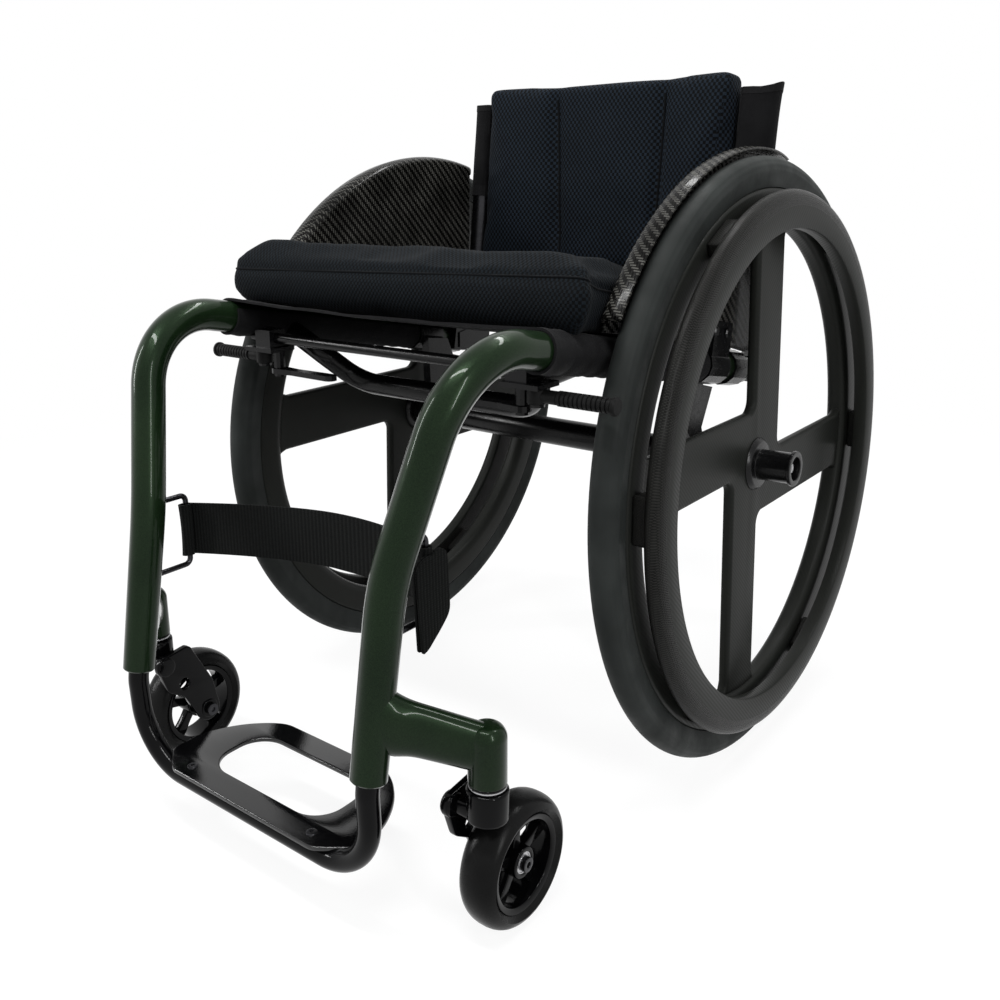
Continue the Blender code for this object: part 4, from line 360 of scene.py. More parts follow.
def leg_y(z):
    """Distance of the lower leg's centre line behind the axle, at height z."""
    return LEG_END_Y + LEG_SLOPE * (z - LEG_END_Z)


SHOE_Z = seat_z(-TYRE_RADIUS) - FRONT_BAR_DROP - SHOE_DROP
SHOE_Y = -math.sqrt(TYRE_RADIUS**2 - (SHOE_Z - AXLE_HEIGHT) ** 2) - SHOE_ROOM
FRONT_BAR_Y = SHOE_Y - FRONT_BAR_LEAD
FRONT_BAR_Z = seat_z(FRONT_BAR_Y) - FRONT_BAR_DROP
CUSHION_FRONT_Y = SLING_FRONT_Y + CUSHION_SETBACK
CUSHION_REAR_Y = SEAT_TUBE_END_Y - CUSHION_REAR_ROOM
CUSHION_LENGTH = (CUSHION_REAR_Y - CUSHION_FRONT_Y) / math.cos(SEAT_ANGLE)


def rounded_path(corners, radii, turn=math.radians(12)):
    """Straight runs joined by arcs. Each inner corner has its bend radius."""
    points = [Vector(corners[0])]
    for before, corner, after, radius in zip(corners, corners[1:], corners[2:], radii):
        corner = Vector(corner)
        back = (Vector(before) - corner).normalized()
        on = (Vector(after) - corner).normalized()
        bend = math.pi - back.angle(on)
        reach = radius * math.tan(bend / 2)
        start = corner + back * reach
        centre = corner + (back + on).normalized() * radius / math.cos(bend / 2)
        axis = on.cross(back)
        steps = max(2, math.ceil(bend / turn))
        for step in range(steps + 1):
            spin = Matrix.Rotation(bend * step / steps, 3, axis)
            points.append(centre + spin @ (start - centre))
    points.append(Vector(corners[-1]))
    return points


def arc(centre, radius, start, end, steps):
    """Points on a circle from one angle to another, ends included."""
    return [
        (
            centre[0] + radius * math.cos(start + (end - start) * step / steps),
            centre[1] + radius * math.sin(start + (end - start) * step / steps)
        )
        for step in range(steps + 1)
    ]


def circle(centre, radius, steps):
    return arc(centre, radius, 0, 2 * math.pi * (steps - 1) / steps, steps - 1)


def rounded_box(half_x, low_y, high_y, corner, steps=4):
    """Outline of a rectangle, centred on X, with round corners."""
    points = []
    for turn, (across, up) in enumerate(
        (
            (half_x - corner, high_y - corner), (-half_x + corner, high_y - corner),
            (-half_x + corner, low_y + corner), (half_x - corner, low_y + corner)
        )
    ):
        start = turn * math.pi / 2
        points += arc((across, up), corner, start, start + math.pi / 2, steps)
    return points


LIFT_Y = -FOOTPRINT_CENTRE_Y
AT = Matrix.Translation((0, LIFT_Y, 0))


def behind(x, y, z):
    """The matrix of a place measured from the axle."""
    return AT @ Matrix.Translation((x, y, z))


MIRROR = Matrix.Diagonal((-1, 1, 1, 1))
SIDES = ((1, "left"), (-1, "right"))
ALONG_X = Matrix.Rotation(math.pi / 2, 4, "Y")
SIDEWAYS = Matrix.Rotation(math.pi / 2, 4, "Z") @ Matrix.Rotation(math.pi / 2, 4, "X")
WHEEL_AT = behind(HALF_TRACK, 0, AXLE_HEIGHT) @ Matrix.Rotation(math.pi / 2 - CAMBER, 4, "Y")
SWIVEL_AT = behind(STEM_X, STEM_Y, 0)
ROLLER_AT = behind(CASTER_X, CASTER_Y, CASTER_RADIUS) @ ALONG_X
BACK_AT = behind(0, BACK_PIVOT_Y, BACK_PIVOT_Z) @ Matrix.Rotation(-BACK_LEAN, 4, "X")


def mirrored(half):
    """Half a run of points, followed by its mirror image in X."""
    return half + [(-p[0], *p[1:]) for p in reversed(half)]


def aligned(place, axis):
    """A matrix with local +Z along axis, at a place behind the axle."""
    return AT @ Matrix.Translation(place) @ Vector(axis).to_track_quat("Z", "Y").to_matrix().to_4x4()


# Mesh makers: each returns (points, faces)
def quads(rows, across, joined=False, closed=True):
    """Faces over rows of points. Closed rows go round, and joined ones meet from last to first."""
    faces = []
    for i in range(rows if joined else rows - 1):
        j = (i + 1) % rows
        for k in range(across if closed else across - 1):
            n = (k + 1) % across
            faces.append((i * across + k, i * across + n, j * across + n, j * across + k))
    return faces


def capped(points, across):
    """Closed rows of points with their faces and one more face at each end."""
    ends = [tuple(reversed(range(across))), tuple(range(len(points) - across, len(points)))]
    return points, quads(len(points) // across, across) + ends


def hoop(centre, a, b, radius, sides):
    """Points round a centre in the plane of two directions."""
    out = []
    for k in range(sides):
        t = 2 * math.pi * k / sides
        out.append(centre + a * math.cos(t) * radius + b * math.sin(t) * radius)
    return out


def sweep(points, radius, sides=24, scales=None):
    """A round tube along an open run of points."""
    points = [Vector(p) for p in points]
    verts = []
    last = None
    up = None
    for i, p in enumerate(points):
        run = points[min(i + 1, len(points) - 1)] - points[max(i - 1, 0)]
        run.normalize()
        if up is None:
            side = Vector((0, 0, 1)) if abs(run.z) < 0.9 else Vector((0, 1, 0))
            up = (side - run * side.dot(run)).normalized()
        else:
            up = last.rotation_difference(run) @ up
            up = (up - run * up.dot(run)).normalized()
        last = run
        verts += hoop(p, up, run.cross(up), radius * (scales[i] if scales else 1), sides)
    return capped(verts, sides)


def lathe(profile, steps=64, closed=True):
    """Points (radius, height) turned about local Z. Open profiles begin and end on the axis."""
    verts = []
    faces = []
    count = len(profile)
    for s in range(steps):
        t = 2 * math.pi * s / steps
        verts += [Vector((r * math.cos(t), r * math.sin(t), z)) for r, z in profile]
    for s in range(steps):
        n = (s + 1) % steps
        for k in range(count if closed else count - 1):
            m = (k + 1) % count
            faces.append((s * count + k, n * count + k, n * count + m, s * count + m))
    return verts, faces


def rounded(profile, radius, steps=3, closed=True):
    """The same profile with its corners rounded off by up to this radius."""
    out = []
    count = len(profile)
    for i, point in enumerate(profile):
        here = Vector(point)
        if not closed and i in (0, count - 1):
            out.append(tuple(here))
            continue
        before = Vector(profile[i - 1])
        after = Vector(profile[(i + 1) % count])
        reach = min(radius, (before - here).length * 0.45, (after - here).length * 0.45)
        a = here + (before - here).normalized() * reach
        b = here + (after - here).normalized() * reach
        for s in range(steps + 1):
            t = s / steps
            out.append(tuple(a * (1 - t) ** 2 + here * 2 * t * (1 - t) + b * t**2))
    return out


def turned(profile, edge, steps, sides, closed=True):
    """The profile with its corners rounded off, turned about local Z."""
    return lathe(rounded(profile, edge, steps, closed), sides, closed)


def beside(radius, height, offsets):
    """Profile points at these offsets from a radius and a height."""
    return [(radius + a, height + b) for a, b in offsets]


def ring_profile(outer, inner, low, high):
    """Profile of a plain ring, from its radii and its two ends."""
    return [(inner, high), (outer, high), (outer, low), (inner, low)]


def placed(name, data):
    made = bpy.data.objects.new(name, data)
    bpy.context.scene.collection.objects.link(made)
    return made


def baked(holder):
    """A new mesh from an object as its modifiers leave it."""
    bpy.context.view_layer.update()
    return bpy.data.meshes.new_from_object(holder.evaluated_get(bpy.context.evaluated_depsgraph_get()))


def form_of(mesh):
    return [v.co.copy() for v in mesh.vertices], [tuple(p.vertices) for p in mesh.polygons]


def raw_mesh(name, form):
    mesh = bpy.data.meshes.new(name)
    mesh.from_pydata([tuple(v) for v in form[0]], [], form[1])
    return mesh


def soften(made, level):
    smooth = made.modifiers.new("soften", "SUBSURF")
    smooth.levels = smooth.render_levels = level


def slab(loops, thick, edge=0.0, res=3):
    """Flat outlines filled and thickened about z = 0, with rounded edges."""
    curve = bpy.data.curves.new("outline", "CURVE")
    curve.dimensions = "2D"
    curve.fill_mode = "BOTH"
    curve.extrude = thick / 2 - edge
    if edge:
        curve.bevel_depth = edge
        curve.bevel_resolution = res
        curve.offset = -edge
    for loop in loops:
        line = curve.splines.new("POLY")
        line.points.add(len(loop) - 1)
        for point, (a, b) in zip(line.points, loop):
            point.co = (a, b, 0, 1)
        line.use_cyclic_u = True
    holder = placed("outline", curve)
    made = baked(holder)
    out = form_of(made)
    bpy.data.objects.remove(holder)
    bpy.data.meshes.remove(made)
    bpy.data.curves.remove(curve)
    return out


def box_form(low, high, edge=0.0, steps=2):
    """A box from its low corner to its high one, with round edges."""
    form = bmesh.new()
    bmesh.ops.create_cube(form, size=1)
    low = Vector(low)
    high = Vector(high)
    for vert in form.verts:
        vert.co = Vector(((low[i] + high[i]) / 2 + vert.co[i] * (high[i] - low[i]) for i in range(3)))
    if edge:
        bmesh.ops.bevel(form, geom=form.edges[:], offset=edge, segments=steps, affect="EDGES", profile=0.5)
    form.verts.index_update()
    out = [v.co.copy() for v in form.verts], [tuple(v.index for v in f.verts) for f in form.faces]
    form.free()
    return out


def merged(*forms):
    """Several forms as one."""
    verts = []
    faces = []
    for points, polys in forms:
        base = len(verts)
        verts += [Vector(p) for p in points]
        faces += [tuple(i + base for i in poly) for poly in polys]
    return verts, faces


def at(matrix, form):
    """The same form, moved by a matrix."""
    return [matrix @ Vector(p) for p in form[0]], form[1]


def piece(name, form, paint, body, replaced=(), sharp=32, level=0):
    """One piece of the model. Edges sharper than this many degrees stay sharp."""
    mesh = raw_mesh(name, form)
    work = bmesh.new()
    work.from_mesh(mesh)
    bmesh.ops.remove_doubles(work, verts=work.verts, dist=1e-6)
    bmesh.ops.recalc_face_normals(work, faces=work.faces)
    work.to_mesh(mesh)
    work.free()
    mesh.shade_smooth()
    mesh.set_sharp_from_angle(angle=math.radians(sharp))
    mesh.materials.append(paint)
    made = placed(name, mesh)
    if level:
        soften(made, level)
    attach(made, body)
    if replaced:
        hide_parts(*replaced)
    return made


def pair(name, form, paint, body, replaced=(), sharp=32):
    """The left piece and its mirror image at the right. {side} stands in names."""
    made = []
    for side, turn in (("left", Matrix.Identity(4)), ("right", MIRROR)):
        names = [n.format(side=side) for n in replaced]
        made.append(
            piece(name.format(side=side), at(turn, form), paint, body.format(side=side), names, sharp)
        )
    return made


# Materials
def add_node(tree, kind, feeds=None, **settings):
    """A new shader node. Feeds give its inputs a value each, or another node's output."""
    made = tree.nodes.new("ShaderNode" + kind)
    for key, value in settings.items():
        setattr(made, key, value)
    for key, value in (feeds or {}).items():
        if hasattr(value, "links"):
            tree.links.new(value, made.inputs[key])
        else:
            made.inputs[key].default_value = value
    return made


class Paint:
    """A small builder for one node material."""

    def __init__(self, name, colour, rough, metal=0.0, **more):
        self.material = bpy.data.materials.new(name)
        self.material.use_nodes = True
        self.tree = self.material.node_tree
        self.shader = self.tree.nodes["Principled BSDF"]
        looks = {"Base Color": (*colour, 1), "Roughness": rough, "Metallic": metal}
        looks.update({key.replace("_", " "): value for key, value in more.items()})
        for key, value in looks.items():
            self.shader.inputs[key].default_value = value
        self.colour = colour
        self.rough = rough
        self.place = self.node("TexCoord").outputs["Object"]

    def node(self, kind, feeds=None, **settings):
        return add_node(self.tree, kind, feeds, **settings)

    def math(self, operation, a, b=None):
        feeds = {0: a} if b is None else {0: a, 1: b}
        return self.node("Math", feeds, operation=operation).outputs[0]

    def times(self, a, b):
        return self.math("MULTIPLY", a, b)

    def split(self, vector):
        return self.node("SeparateXYZ", {0: vector}).outputs

    def noise(self, scale, detail=3):
        feeds = {"Scale": scale, "Detail": detail, "Roughness": 0.6, "Vector": self.place}
        return self.node("TexNoise", feeds).outputs["Fac"]

    def ramp(self, factor, low, high, start=0.3, end=0.7):
        made = self.node("ValToRGB", {0: factor})
        for stop, place, colour in zip(made.color_ramp.elements, (start, end), (low, high)):
            stop.position = place
            stop.color = (*colour, 1)
        return made.outputs[0]

    def span(self, factor, low, high, start=0.0, end=1.0):
        feeds = {"Value": factor, "From Min": start, "From Max": end, "To Min": low, "To Max": high}
        return self.node("MapRange", feeds).outputs[0]

    def into(self, socket, output):
        self.tree.links.new(output, self.shader.inputs[socket])

    def bump(self, height, strength, distance, under=None):
        feeds = {"Strength": strength, "Distance": distance, "Height": height}
        if under:
            feeds["Normal"] = under
        made = self.node("Bump", feeds).outputs[0]
        self.into("Normal", made)
        return made

    def vary(self, scale, spread=0.2, rough_spread=0.06):
        """Slow changes of tone and gloss over the surface."""
        low = [c * (1 - spread) for c in self.colour]
        high = [min(1, c * (1 + spread)) for c in self.colour]
        self.into("Base Color", self.ramp(self.noise(scale), low, high))
        gloss = self.noise(scale * 3.1, 4)
        dull = self.span(gloss, self.rough - rough_spread, self.rough + rough_spread, 0.3, 0.7)
        self.into("Roughness", dull)

    def flats(self):
        """Two coordinates along whichever main plane the surface lies nearest to."""
        normal = self.node("NewGeometry").outputs["True Normal"]
        nx, ny, nz = self.split(self.node("VectorMath", {0: normal}, operation="ABSOLUTE").outputs[0])
        x, y, z = self.split(self.place)
        is_x = self.times(self.math("GREATER_THAN", nx, ny), self.math("GREATER_THAN", nx, nz))
        is_z = self.times(self.math("GREATER_THAN", nz, ny), self.math("GREATER_THAN", nz, nx))
        return self.mix(is_x, x, y), self.mix(is_z, z, y)

    def mix(self, factor, a, b):
        return self.node("Mix", {0: factor, 2: a, 3: b}, data_type="FLOAT").outputs[0]

    def tint(self, factor, low, high):
        feeds = {0: factor, 6: (*low, 1), 7: (*high, 1)}
        return self.node("Mix", feeds, data_type="RGBA").outputs[2]

    def twill(self, u, v, pitch, over=2):
        """0 to 1 height of a twill weave, and which of its two yarns lies on top."""
        a = self.math("DIVIDE", u, pitch)
        b = self.math("DIVIDE", v, pitch)
        fa = self.math("FLOOR", a)
        fb = self.math("FLOOR", b)
        step = self.math("FLOORED_MODULO", self.math("ADD", fa, fb), 2 * over)
        warp = self.math("LESS_THAN", step, over)
        ra = self.math("SINE", self.times(self.math("FRACT", a), math.pi))
        rb = self.math("SINE", self.times(self.math("FRACT", b), math.pi))
        return self.mix(warp, rb, ra), warp


def metal_paint(name, colour, rough, metal=0.6, level=0.5):
    made = Paint(name, colour, rough, metal, Specular_IOR_Level=level)
    made.vary(60, 0.12, min(0.05, rough * 0.4))
    made.bump(made.noise(900, 2), 0.12, 0.0004)
    return made.material


green = Paint(
    "metallic_green_paint", (0.020, 0.040, 0.018), 0.30, 0.35, Specular_IOR_Level=0.05, Coat_Weight=1.0,
    Coat_IOR=1.17, Coat_Roughness=0.03
)
flake = green.noise(1600, 1)
tone = green.noise(9, 2)
green.into(
    "Base Color",
    green.ramp(
        green.math("ADD", green.times(flake, 0.6), green.times(tone, 0.4)), (0.0028, 0.0088, 0.0030),
        (0.0140, 0.0290, 0.0118), 0.35, 0.70
    )
)
green.bump(flake, 0.10, 0.0003)
GREEN = green.material
SATIN = metal_paint("satin_black_metal", (0.0034, 0.0034, 0.0037), 0.24, 0.0, 0.19)
GLOSS = metal_paint("gloss_black", (0.0018, 0.0018, 0.0021), 0.09, 0.0, 0.10)
PLATE = metal_paint("footplate_black", (0.0022, 0.0022, 0.0025), 0.06, 0.0, 0.60)
STEEL = metal_paint("bright_steel", (0.42, 0.42, 0.43), 0.28, 1.0)
DARK_STEEL = metal_paint("dark_steel", (0.035, 0.035, 0.038), 0.30, 1.0)


def rubber(name, colour, rough):
    made = Paint(name, colour, rough)
    made.shader.inputs["Specular IOR Level"].default_value = 0.07
    made.vary(11, 0.42, 0.12)
    made.bump(made.noise(700, 3), 0.25, 0.0005)
    return made.material


TYRE = rubber("tyre_rubber", (0.022, 0.0245, 0.0235), 0.55)
CASTER_RUBBER = rubber("caster_rubber", (0.0075, 0.0075, 0.0075), 0.26)
BRAKE_RUBBER = rubber("brake_rubber", (0.008, 0.008, 0.008), 0.5)


def carbon(name, low, high, rough, pitch, bump, ring=False, over=2, coat=0.0, level=0.07, depth=1.4):
    """A twill weave. With ring it runs round the wheels' axle, and straight on the guards' panels."""
    made = Paint(
        name, low, rough, 0.0, Specular_IOR_Level=level, Coat_Weight=coat, Coat_IOR=1.25,
        Coat_Roughness=0.12
    )
    x, y, z = made.split(made.place)
    if ring:
        dy = made.math("SUBTRACT", y, LIFT_Y)
        dz = made.math("SUBTRACT", z, AXLE_HEIGHT)
        reach = made.math(
            "SQRT", made.math("ADD", made.math("POWER", dy, 2.0), made.math("POWER", dz, 2.0))
        )
        u = made.times(made.math("ARCTAN2", dz, dy), GUARD_RADIUS)
        u = made.times(u, -1.0)
        away = made.math("ABSOLUTE", x)
        v = made.math("ADD", reach, away)
        panel = made.math("LESS_THAN", away, GUARD_X + GUARD_FLAT)
        u = made.mix(panel, u, dy)
        v = made.mix(panel, v, dz)
    else:
        u, v = made.flats()
    height, warp = made.twill(u, v, pitch, over)
    drift = made.noise(26, 3)
    share = made.times(height, made.mix(warp, 0.45, 1.0))
    share = made.math("POWER", made.times(share, made.span(drift, 0.75, 1.1, 0.3, 0.7)), depth)
    made.into("Base Color", made.tint(share, low, high))
    made.into("Roughness", made.mix(warp, rough - 0.06, rough + 0.08))
    made.bump(height, bump, 0.0004)
    return made.material


WHEEL_CARBON = carbon(
    "carbon_fibre", (0.0125, 0.0133, 0.0118), (0.0165, 0.0175, 0.0155), 0.40, 0.0011, 0.03
)
RIM_WEAVE = carbon(
    "carbon_weave", (0.0030, 0.0030, 0.0028), (0.027, 0.027, 0.025), 0.34, 0.0014, 0.40, ring=True, over=1
)
GUARD_CARBON = carbon(
    "guard_carbon", (0.0002, 0.0002, 0.0002), (0.100, 0.098, 0.088), 0.26, 0.0026, 0.50, ring=True,
    coat=0.30, level=0.03, depth=3.0
)


def cloth(name, colour, pitch, strength, rough=0.85, sheen=0.04):
    made = Paint(name, colour, rough, Specular_IOR_Level=0.06, Sheen_Weight=sheen, Sheen_Roughness=0.4)
    made.vary(30, 0.2, 0.05)
    u, v = made.flats()
    height, _ = made.twill(u, v, pitch, 1)
    first = made.bump(made.noise(55, 3), 0.35, 0.002)
    made.bump(height, strength, 0.0003, first)
    return made.material


CLOTH = cloth("black_cloth", (0.0055, 0.0055, 0.006), 0.0009, 0.5)
HEM = cloth("hem_cloth", (0.007, 0.007, 0.0075), 0.0007, 0.3, 0.7)
# Dark navy cloth for the seat cushion's piping and for the cords in the back cushion's channels; on those
# cords its dark colour is partly painted shade
PIPING_AND_CHANNEL_SHADE = cloth("piping_and_channel_shade_cloth", (0.0012, 0.0016, 0.0022), 0.0008, 0.1, 0.8)


def webbing(name, colour):
    made = Paint(name, colour, 0.7, Specular_IOR_Level=0.05, Sheen_Weight=0.01)
    x, y, z = made.split(made.place)
    ribs = made.math("SINE", made.times(made.math("ADD", x, made.times(y, 1.3)), 2 * math.pi / 0.0046))
    cords = made.math("SINE", made.times(z, 2 * math.pi / 0.0018))
    height = made.math("ADD", made.times(ribs, 0.7), made.times(cords, 0.3))
    share = made.span(height, 0, 1, -1, 1)
    made.into("Base Color", made.tint(share, [c * 0.55 for c in colour], [c * 1.7 for c in colour]))
    made.bump(height, 0.6, 0.0005)
    return made.material


WEBBING = webbing("black_webbing", (0.0046, 0.0050, 0.0048))


def spacer_mesh(name, low, high, pitch):
    """Knitted spacer mesh: rows of small holes, staggered, in a navy ground."""
    made = Paint(name, high, 0.78, Specular_IOR_Level=0.07, Sheen_Weight=0.015, Sheen_Roughness=0.35)
    u, v = made.flats()
    a = made.math("COSINE", made.times(u, 2 * math.pi / pitch))
    b = made.math("COSINE", made.times(v, 2 * math.pi / (pitch * 1.25)))
    hole = made.times(a, b)
    open_share = made.span(hole, 0, 1, -0.35, 0.30)
    tone = made.noise(22, 3)
    ground = made.span(tone, 0.8, 1.25, 0.3, 0.7)
    mixed = made.times(made.math("SUBTRACT", 1.0, open_share), ground)
    made.into("Base Color", made.tint(mixed, low, high))
    first = made.bump(made.noise(38, 2), 0.25, 0.003)
    made.bump(open_share, 0.7, -0.0007, first)
    return made.material


MESH = spacer_mesh("navy_mesh_fabric", (0.0002, 0.0003, 0.0005), (0.0092, 0.0142, 0.0212), 0.0054)
SEAT_MESH = spacer_mesh("seat_mesh_fabric", (0.0003, 0.0004, 0.0006), (0.0050, 0.0076, 0.0102), 0.0043)

finish = {
    "satin_black_metal": SATIN, "gloss_black": GLOSS, "bright_steel": STEEL, "metallic_green_paint": GREEN,
    "tyre_rubber": TYRE, "carbon_fibre": WHEEL_CARBON, "guard_carbon": GUARD_CARBON,
    "brake_rubber": BRAKE_RUBBER, "black_cloth": CLOTH, "black_webbing": WEBBING, "navy_mesh_fabric": MESH
}
slot_of = {entry["node"]: entry["material_slot"] for entry in frame["record"]["subparts"]}
for name, node in nodes.items():
    for slot in node.material_slots:
        slot.material = finish[slot_of[name]]

# Side frames: bent tube, caster arm with its flared weld, stem housing
leg_end = Vector((LEG_X, LEG_END_Y, LEG_END_Z))
seat_end = Vector((SEAT_TUBE_X, SEAT_TUBE_END_Y, seat_z(SEAT_TUBE_END_Y)))
side_path = rounded_path(
    [leg_end, (LEG_X, KNEE_Y, KNEE_Z), (SEAT_TUBE_X, FRONT_CORNER_Y, FRONT_CORNER_Z), seat_end],
    [KNEE_BEND, FRONT_BEND], math.radians(2.5)
)
lip = side_path[0].lerp(side_path[1], 0.0012 / (side_path[1] - side_path[0]).length)
side_path.insert(1, lip)
taper = []
for place in side_path:
    share = min(1, max(0, (place.z - LEG_END_Z) / (KNEE_Z - LEG_END_Z)))
    taper.append((LEG_END_RADIUS + (TUBE_RADIUS - LEG_END_RADIUS) * share) / TUBE_RADIUS)
taper[0] *= 0.93
side_tube = at(AT, sweep(side_path, TUBE_RADIUS, 48, taper))
arm_start = Vector((LEG_X, leg_y(ARM_LEG_Z), ARM_LEG_Z))
arm_end = Vector((STEM_X, STEM_Y, ARM_HOUSING_Z))
arm_across = Vector((arm_end.y - arm_start.y, arm_start.x - arm_end.x, 0)).normalized()
arm_verts = []
for ring in range(ARM_RINGS):
    share = 0.02 + 0.95 * ring / (ARM_RINGS - 1)
    flare = math.exp(-(((share - 0.14) / 0.13) ** 2)) if share > 0.14 else 1
    centre = arm_start.lerp(arm_end, share)
    drift = ARM_HALF_HEIGHT_HOUSING - ARM_HALF_HEIGHT_LEG
    tall = ARM_HALF_HEIGHT_LEG + drift * share + ARM_FLARE * flare
    thick = ARM_HALF_THICK + ARM_FLARE * 0.6 * flare
    for k in range(ARM_SIDES):
        t = 2 * math.pi * k / ARM_SIDES
        a = math.copysign(abs(math.cos(t)) ** 0.9, math.cos(t))
        b = math.copysign(abs(math.sin(t)) ** 0.9, math.sin(t))
        arm_verts.append(centre + arm_across * thick * a + Vector((0, 0, tall * b)))
housing_cap = HOUSING_TOP - HOUSING_BOTTOM
housing = turned(
    [
        (0, housing_cap), (HOUSING_RADIUS * 0.72, housing_cap - 0.0008),
        (HOUSING_RADIUS, housing_cap - 0.0075), (HOUSING_RADIUS, 0), (HOUSING_RADIUS - 0.003, 0),
        (HOUSING_RADIUS - 0.003, 0.004), (0, 0.004)
    ],
    0.004, 5, 56, False
)
stem_place = behind(STEM_X, STEM_Y, HOUSING_BOTTOM)
frame_form = merged(side_tube, at(AT, (arm_verts, quads(ARM_RINGS, ARM_SIDES))), at(stem_place, housing))
pair("frame_tube_{side}", frame_form, GREEN, "frame", ["frame_side_{side}"], 40)
plug = turned(
    [
        (0, PLUG_FLANGE), (TUBE_RADIUS * 0.8, PLUG_FLANGE), (TUBE_RADIUS, PLUG_FLANGE * 0.5),
        (TUBE_RADIUS, 0), (PLUG_BORE_RADIUS, 0), (PLUG_BORE_RADIUS, -PLUG_DEPTH * 0.6),
        (0, -PLUG_DEPTH * 0.6)
    ],
    0.002, 4, 40, False
)
pair(
    "tube_plug_{side}", at(aligned(seat_end + SEAT_AXIS * GAP, SEAT_AXIS), plug), SATIN, "frame",
    ["end_plug_{side}"]
)
stem_bore = STEM_RADIUS + RUNNING_GAP
collar = turned(
    [
        (STEM_BEARING_RADIUS, STEM_BEARING_LENGTH), (STEM_BEARING_RADIUS, 0), (STEM_COLLAR_RADIUS, 0),
        (STEM_COLLAR_RADIUS, -STEM_COLLAR), (stem_bore, -STEM_COLLAR), (stem_bore, STEM_BEARING_LENGTH)
    ],
    0.0008, 2, 48
)
bearing_place = behind(STEM_X, STEM_Y, HOUSING_BOTTOM - GAP)
pair("stem_sleeve_{side}", at(bearing_place, collar), SATIN, "frame", ["stem_bearing_{side}"])
washer = turned(
    ring_profile(
        STEM_COLLAR_RADIUS + 0.0004, STEM_COLLAR_RADIUS - 0.001, -STEM_COLLAR * 0.70, -STEM_COLLAR * 0.35
    ),
    0.0003, 2, 48
)
pair("stem_washer_{side}", at(bearing_place, washer), STEEL, "frame")

# Caster forks
crown_low = CROWN_TOP - CROWN_HEIGHT
crown = turned(
    [
        (0, CROWN_TOP + CROWN_STUB), (STEM_RADIUS, CROWN_TOP + CROWN_STUB), (STEM_RADIUS, CROWN_TOP),
        (CROWN_RADIUS, CROWN_TOP), (CROWN_RADIUS, crown_low), (0, crown_low)
    ],
    0.0028, 4, 56, False
)
axle_y = CASTER_TRAIL
axle_z = CASTER_RADIUS
lobe_z = crown_low + LOBE_RADIUS - LOBE_DROP
blade_outline = arc((axle_y, axle_z), BLADE_HALF_WIDTH * 0.82, -2.6, 0.35, 24)
blade_outline += [(axle_y + 0.0075, axle_z + 0.030)]
blade_outline += arc((0.0135, CROWN_TOP - 0.016), 0.009, 0.3, 1.45, 10)
blade_outline += arc((-LOBE_REACH + LOBE_RADIUS, lobe_z + 0.002), LOBE_RADIUS, 1.9, 4.0, 18)
blade_outline += [(-0.010, crown_low - 0.022), (axle_y - 0.028, axle_z + 0.024)]
blade_outline = rounded(blade_outline, 0.004, 4)
blade = slab([blade_outline, circle(BLADE_HOLE, BLADE_HOLE_RADIUS, 28)], BLADE_THICK, 0.0014, 3)
blade_at = Matrix.Translation((BLADE_X - STEM_X, 0, 0)) @ SIDEWAYS
lobe_at = Matrix.Translation((BLADE_X - STEM_X, -LOBE_REACH + LOBE_RADIUS, lobe_z + 0.002)) @ ALONG_X
lobe_pad = turned(
    [(0, 0.0047), (LOBE_RADIUS * 0.93, 0.0047), (LOBE_RADIUS * 0.93, -0.0047), (0, -0.0047)], 0.0016, 3, 36,
    False
)
boss_at = Matrix.Translation((BLADE_X - STEM_X, axle_y, axle_z)) @ ALONG_X
boss = turned(ring_profile(0.0098, 0.0042, -0.0046, 0.0052), 0.001, 3, 36)
bridge = box_form(
    (BLADE_X - STEM_X - BLADE_THICK * 0.3, -0.0140, crown_low), (0, 0.0140, crown_low + 0.0125), 0.0045, 4
)
fork_form = at(
    SWIVEL_AT, merged(crown, at(blade_at, blade), at(lobe_at, lobe_pad), at(boss_at, boss), bridge)
)
pair("caster_fork_body_{side}", fork_form, GLOSS, "{side}_caster_fork", ["caster_fork_{side}"], 35)
bolt_head = rounded(
    [
        (0, 0.0030), (0.0026, 0.0030), (0.0026, 0.0052), (CASTER_BOLT_HEAD_RADIUS, 0.0052),
        (CASTER_BOLT_HEAD_RADIUS, 0), (CASTER_BOLT_RADIUS, 0), (CASTER_BOLT_RADIUS, -0.0402),
        (CASTER_BOLT_HEAD_RADIUS, -0.0402), (CASTER_BOLT_HEAD_RADIUS, -0.0440), (0.0024, -0.0440),
        (0.0024, -0.0424), (0, -0.0424)
    ],
    0.0005, 2, False
)
bolt_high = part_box("caster_bolt_left")[1]
bolt_at = behind(bolt_high.x - 0.0052, CASTER_Y, CASTER_RADIUS) @ ALONG_X
pair(
    "caster_axle_bolt_{side}", at(bolt_at, lathe(bolt_head, 32, False)), DARK_STEEL, "{side}_caster_fork",
    ["caster_bolt_{side}"]
)

# Caster wheels
tyre_round = [(CASTER_TYRE_INNER, CASTER_RIM_HALF - 0.001)]
for angle in range(78, -79, -12):
    t = math.radians(angle)
    wide = math.copysign(abs(math.sin(t)) ** 0.85, t) * CASTER_HALF_WIDTH
    tyre_round.append((CASTER_RADIUS - CASTER_BULGE + CASTER_BULGE * math.cos(t), wide))
tyre_round += [(CASTER_TYRE_INNER, -CASTER_RIM_HALF + 0.001)]
pair(
    "caster_tread_{side}", at(ROLLER_AT, lathe(tyre_round, 96)), CASTER_RUBBER, "{side}_caster_wheel",
    ["caster_tyre_{side}"], 40
)
rim = turned(
    [
        (CASTER_TYRE_INNER - GAP, CASTER_RIM_HALF), (CASTER_TYRE_INNER - GAP, -CASTER_RIM_HALF),
        (CASTER_TYRE_INNER - CASTER_RIM_THICK, -CASTER_RIM_HALF + 0.0015),
        (CASTER_TYRE_INNER - CASTER_RIM_THICK, CASTER_RIM_HALF - 0.0015)
    ],
    0.0012, 3, 96
)
